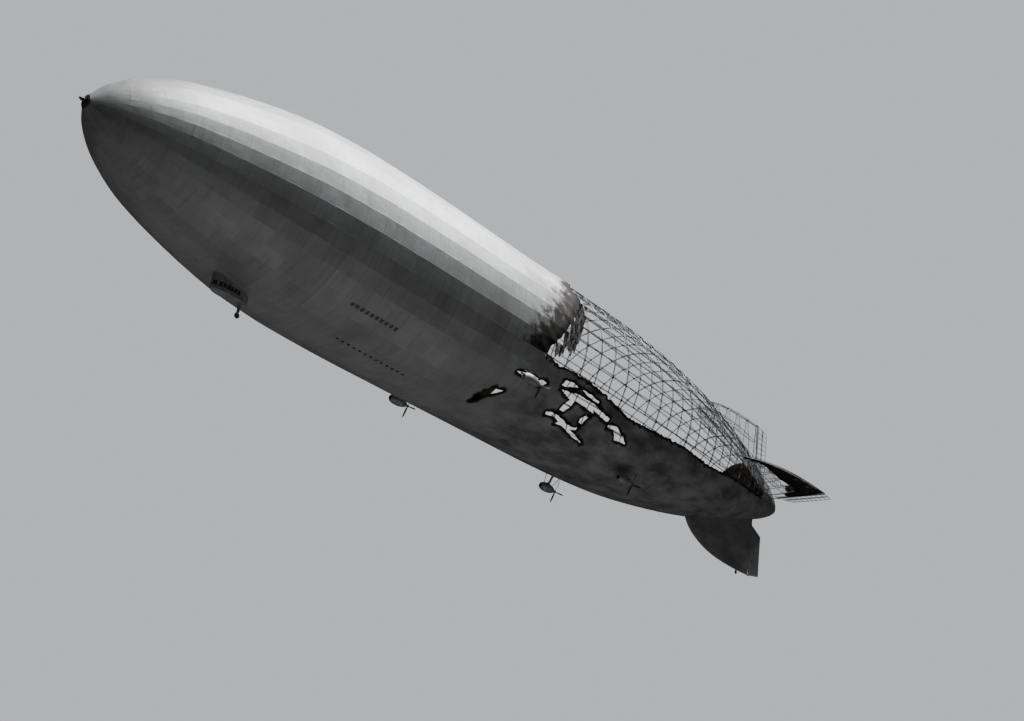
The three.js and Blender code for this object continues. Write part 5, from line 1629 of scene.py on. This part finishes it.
def fin_patch(name, number, outline, side):
    """What is left of one side of a burnt fin's cloth, cut along an outline of (station, reach) points."""
    edge = burnt(outline, seed=30.0 + number, bite=0.3, step=0.4)[:-1]
    flat, triangles = cut_cloth(edge, [])
    station, reach = flat[:, 0], flat[:, 1] * DEGREE
    outer = np.interp(station, fin_line[:, 0], fin_line[:, 1])
    share = (reach - hull_radius(station)) / (outer - hull_radius(station))
    share = np.minimum(share, 1.0)
    points = fin_turn(fin_place(station, share, side), name)
    faces = triangles.tolist() if side > 0 else triangles[:, ::-1].tolist()
    inner = edge[edge[:, 1] * DEGREE < np.interp(edge[:, 0], fin_line[:, 0], fin_line[:, 1]) - 0.4]
    values = {"burn": nearest(flat, inner) / 4, "smoke": np.ones(len(flat))}
    cloth_piece(f"fin_cloth_{name}_{number}", points, faces, fin_map(station, share), values,
                burnt_material)


for name in ("lower", "stbd"):
    whole_fin(name)
for name in ("upper", "port"):
    fin_frame(name)


def reach_at(station, share):
    """Reach at a share of the span, in degrees round the full hull as cut_cloth takes it."""
    outer = np.interp(station, fin_line[:, 0], fin_line[:, 1])
    return (hull_radius(station) + (outer - hull_radius(station)) * share) / DEGREE


outer_marks = [(s, 1.0) for s in np.linspace(*PATCH_ENDS, 17)]
patch_outline = [(s, reach_at(s, share)) for s, share in [*outer_marks, *PATCH_INNER, outer_marks[0]]]
fin_patch("port", 1, patch_outline, -1)
fin_patch("port", 2, patch_outline, 1)
strip_stations = np.linspace(*PATCH_ENDS, STRIP_ROWS)
strip = np.array([fin_place(strip_stations, 1.0, side) for side in np.linspace(-1, 1, STRIP_COLUMNS)])
strip = fin_turn(strip.swapaxes(0, 1), "port").reshape(-1, 3)
strip_map = fin_map(np.repeat(strip_stations, STRIP_COLUMNS), np.ones(len(strip)))
cloth_piece("fin_cloth_port_edge", strip, faces_of_grid(STRIP_ROWS, STRIP_COLUMNS)[:, ::-1].tolist(),
            strip_map, unburnt(len(strip), 1.0), burnt_material)

# Forged lugs on each fin's after spar carry the pins of its rudder or elevator, and the tail wheel's fork
# stands out of the lower fin.
CONTROL_IN, CONTROL_OUT = 7.7, 22.05
CONTROL_IN_AFT, CONTROL_OUT_AFT = 9.6, 21.2


def lug(z):
    """A plate round a pin's hole, reaching forward to the fin's spar."""
    turns = around(40)
    across = LUG_HALF / np.maximum(np.abs(np.sin(turns)), 1e-6)
    ahead = LUG_REACH / np.maximum(np.abs(np.cos(turns)), 1e-6)
    outer = np.where(np.cos(turns) < 0, np.minimum(across, ahead), LUG_HALF)
    ring = np.stack([np.cos(turns), np.sin(turns)], -1)
    loops = [(ring * PIN_HOLE, z), (ring * PIN_HOLE, z + LUG_THICK), (ring * outer[:, None], z + LUG_THICK),
             (ring * outer[:, None], z), (ring * PIN_HOLE, z)]
    points = [[(at_station(HINGE) + x, y, h) for x, y in line] for line, h in loops]
    faces = faces_of_grid(5, 40, closed=True).tolist()
    return close_shape(piece("lug", np.array(points).reshape(-1, 3), faces, fitting_material), 30)


for name in TAIL_TURNS:
    heights = (CONTROL_IN * METRE - LUG_CLEAR - LUG_THICK, CONTROL_OUT * METRE + LUG_CLEAR)
    lugs = join_pieces(f"hinge_lugs_{name}", [lug(z) for z in heights])
    points = np.array([v.co for v in lugs.data.vertices])
    lugs.data.vertices.foreach_set("co", fin_turn(points, name).astype(np.float32).ravel())
    lugs.data.update()
    mount(lugs, "hull")
tail_fork = fork("tail_fork", tail_wheel, 0.120, car_material)
mount(tail_fork, "hull")

# Each rudder and elevator is a light frame of ribs on a tubular nose spar, covered like its fin. The upper
# rudder and the port elevator are burnt bare.
CONTROL_AFT = 238.6
CONTROL_NOSE = 0.25
CONTROL_EDGE = 0.04
CONTROL_RIBS = 9
PIN = 0.006
CONTROL_SAG = 0.03
CONTROL_PANEL = 2.6
CONTROL_SPARS = [(-0.12, 0.36), (2.66, 2.88)]  # the ship's metres aft of the hinge
CONTROL_BAYS = [(0.36, 2.66), (2.88, 5.1)]
NOSE_ROWS, NOSE_COLUMNS = 40, 15
PIN_LENGTH = 0.022
PIN_ROOT = 0.04
controls = {"upper": "rudder", "port": "elevator", "lower": "rudder", "stbd": "elevator"}
control_chord = CONTROL_AFT - HINGE
control_shares = np.arange(CONTROL_RIBS + 1) / CONTROL_RIBS
pin_ends = [
    (CONTROL_IN * METRE - PIN_LENGTH, CONTROL_IN * METRE + PIN_ROOT),
    (CONTROL_OUT * METRE - PIN_ROOT, CONTROL_OUT * METRE + PIN_LENGTH),
]


def control_place(x, share, side, inset=0.0):
    """Points of a control surface x metres aft of its hinge, at shares of its span."""
    x, share, side = np.broadcast_arrays(*[np.asarray(v, float) for v in (x, share, side)])
    aft = np.clip(x, 0, None) / control_chord
    half = CONTROL_NOSE + (CONTROL_EDGE - CONTROL_NOSE) * aft
    half = np.where(x < 0, np.sqrt(np.maximum(CONTROL_NOSE**2 - x**2, 0)), half)
    low = CONTROL_IN + (CONTROL_IN_AFT - CONTROL_IN) * aft
    high = CONTROL_OUT + (CONTROL_OUT_AFT - CONTROL_OUT) * aft
    return np.stack([at_station(HINGE) + x * METRE, side * np.maximum(half - inset, 0) * METRE,
                     (low + (high - low) * share) * METRE], -1)


nose_x = -CONTROL_NOSE * np.cos(np.linspace(0, math.pi / 2, 7))
section_x = np.concatenate([nose_x, np.linspace(0.2, control_chord, 18)])
for name, kind in controls.items():
    body = f"{kind}_{name}"
    pins = [fin_turn([(at_station(HINGE), 0, z) for z in ends], name) for ends in pin_ends]
    rods(f"hinge_pins_{name}", pins, PIN, fitting_material, sides=16, body=body, smooth=True)
    if name in ("lower", "stbd"):
        shares = np.linspace(0, 1, 49)
        x = np.concatenate([section_x[::-1], section_x[1:]])
        sides = np.concatenate([-np.ones(len(section_x)), np.ones(len(section_x) - 1)])
        across = shares[:, None] * CONTROL_RIBS
        along = np.clip(x, 0, None)[None, :] / CONTROL_PANEL
        sag = CONTROL_SAG * PEAK * (across % 1) * (1 - across % 1)
        sag = sag * ((along % 1) * (1 - along % 1)) * (along < 1.99)
        rows = control_place(x[None, :], shares[:, None], sides[None, :], inset=sag)
        rows = np.concatenate([rows[:1] * END_FLAT, rows, rows[-1:] * END_FLAT])
        across = np.concatenate([across[:1], across, across[-1:]])
        grid = rows.shape[:2]
        maps = [np.broadcast_to(part, grid) for part in (along, across)]
        cloth_piece(f"{kind}_cover_{name}", fin_turn(rows, name).reshape(-1, 3),
                    faces_of_grid(*grid)[:, ::-1].tolist(), maps, unburnt(math.prod(grid), WHOLE_SMOKE),
                    burnt_material, body=body, node=body)
        continue
    shares = np.linspace(0, 1, 31)
    chords, braces = split_truss([
        truss([control_place(x, shares, side, 0.02) for x, side in ((a, -1), (a, 1), (b, 1), (b, -1))])
        for a, b in CONTROL_SPARS])
    ribs_x = np.concatenate([nose_x[1:], np.linspace(0.3, control_chord, 12)])
    for share in control_shares:
        pair = np.array([control_place(ribs_x, share, side, 0.01) for side in (-1, 1)])
        chords.append(pair)
        braces.append(np.stack([pair[0, 5:-1], pair[1, 6:]], 1))
    chords.append(np.array([control_place(control_chord, shares, side) for side in (-1, 1)]))
    wires = []
    for span in zip(control_shares, control_shares[1:]):
        for a, b in CONTROL_BAYS:
            wires += [control_place(ends, span, side, 0.03) for ends, side in (((a, b), 1), ((b, a), -1))]
    tail_rods(kind, name, [("frame", chords, 0.0042), ("braces", braces, 0.0024), ("wires", wires, WIRE)],
              body, body)
    nose_turns = np.radians(np.linspace(92, 268, NOSE_COLUMNS))
    loop = CONTROL_NOSE * METRE * np.stack([np.cos(nose_turns), np.sin(nose_turns)], -1)
    heights = np.linspace(CONTROL_IN, CONTROL_OUT, NOSE_ROWS) * METRE
    points = fin_turn([[(at_station(HINGE) + x, y, z) for x, y in loop] for z in heights], name)
    faces = faces_of_grid(NOSE_ROWS, NOSE_COLUMNS).tolist()
    skin = piece(f"{kind}_nose_{name}", points.reshape(-1, 3), faces, frame_material)
    wall(smooth_shade(skin, 60), 0.0015, frame_material)
    mount(skin, body)

# Two rows of cabin windows are let into each side of the hull: large ones along the promenades, and small
# ones along the deck below, each in a riveted metal frame.
PROMENADE = [(s, a) for a in (232, 308) for s in np.arange(57.6, 71.0, 1.35)]
LOWER_DECK = [(s, a) for a in (257, 283) for s in np.arange(62.4, 82.6, 1.6)]
FRAME_INNER, FRAME_OUTER = 0.86, 1.08
FRAME_ROOT, FRAME_RISE = -0.004, 0.0026
PANE_SHARE = 0.9
ROUNDING = 0.45  # 1 for round windows, and nearer to 0 for sharp corners
window_turns = around(20) + math.pi / 20


def rounded(half_length, half_height):
    """A rectangle's outline with rounded corners."""
    circle = np.stack([np.cos(window_turns), np.sin(window_turns)], -1)
    return np.sign(circle) * np.abs(circle) ** ROUNDING * (half_length, half_height)


def window_shape(half_length, half_height):
    """A frame with rounded corners round an opening, standing on the origin."""
    outline = rounded(half_length, half_height)
    loops = [(FRAME_INNER, FRAME_ROOT), (FRAME_INNER, FRAME_RISE), (FRAME_OUTER, FRAME_RISE),
             (FRAME_OUTER, FRAME_ROOT)]
    points = [(x, y, z) for share, z in loops for x, y in outline * share]
    return points, faces_of_grid(4, 20, closed=True)[:, ::-1].tolist()


def pane_shape(half_length, half_height):
    points = [(x, y, z) for z in (-0.001, 0.0012) for x, y in rounded(half_length, half_height)]
    sides = faces_of_grid(2, 20, closed=True).tolist()
    return points, [*sides, list(range(20))[::-1], list(range(20, 40))]


window_rows = [("promenade", PROMENADE, 0.048, 0.050), ("lower_deck", LOWER_DECK, 0.040, 0.028)]
for row, marks, half_length, half_height in window_rows:
    marks = np.array(marks)
    part = np.stack([marks[:, 0] / PANEL, marks[:, 1] / GORE]) % 1
    swell = PEAK * BILLOW * (part * (1 - part)).prod(0)
    places = on_hull(marks[:, 0], marks[:, 1], -0.0012 - swell)
    facet_turns = np.radians(np.floor(marks[:, 1] / GORE) * GORE + GORE / 2)
    outs = np.stack([np.zeros(len(marks)), np.cos(facet_turns), np.sin(facet_turns)], -1)
    surround = window_shape(half_length, half_height)
    placed_copies(f"{row}_window_frames", surround, places, outs, car_material)
    pane = pane_shape(half_length * PANE_SHARE, half_height * PANE_SHARE)
    placed_copies(f"{row}_window_panes", pane, places, outs, glass_material)
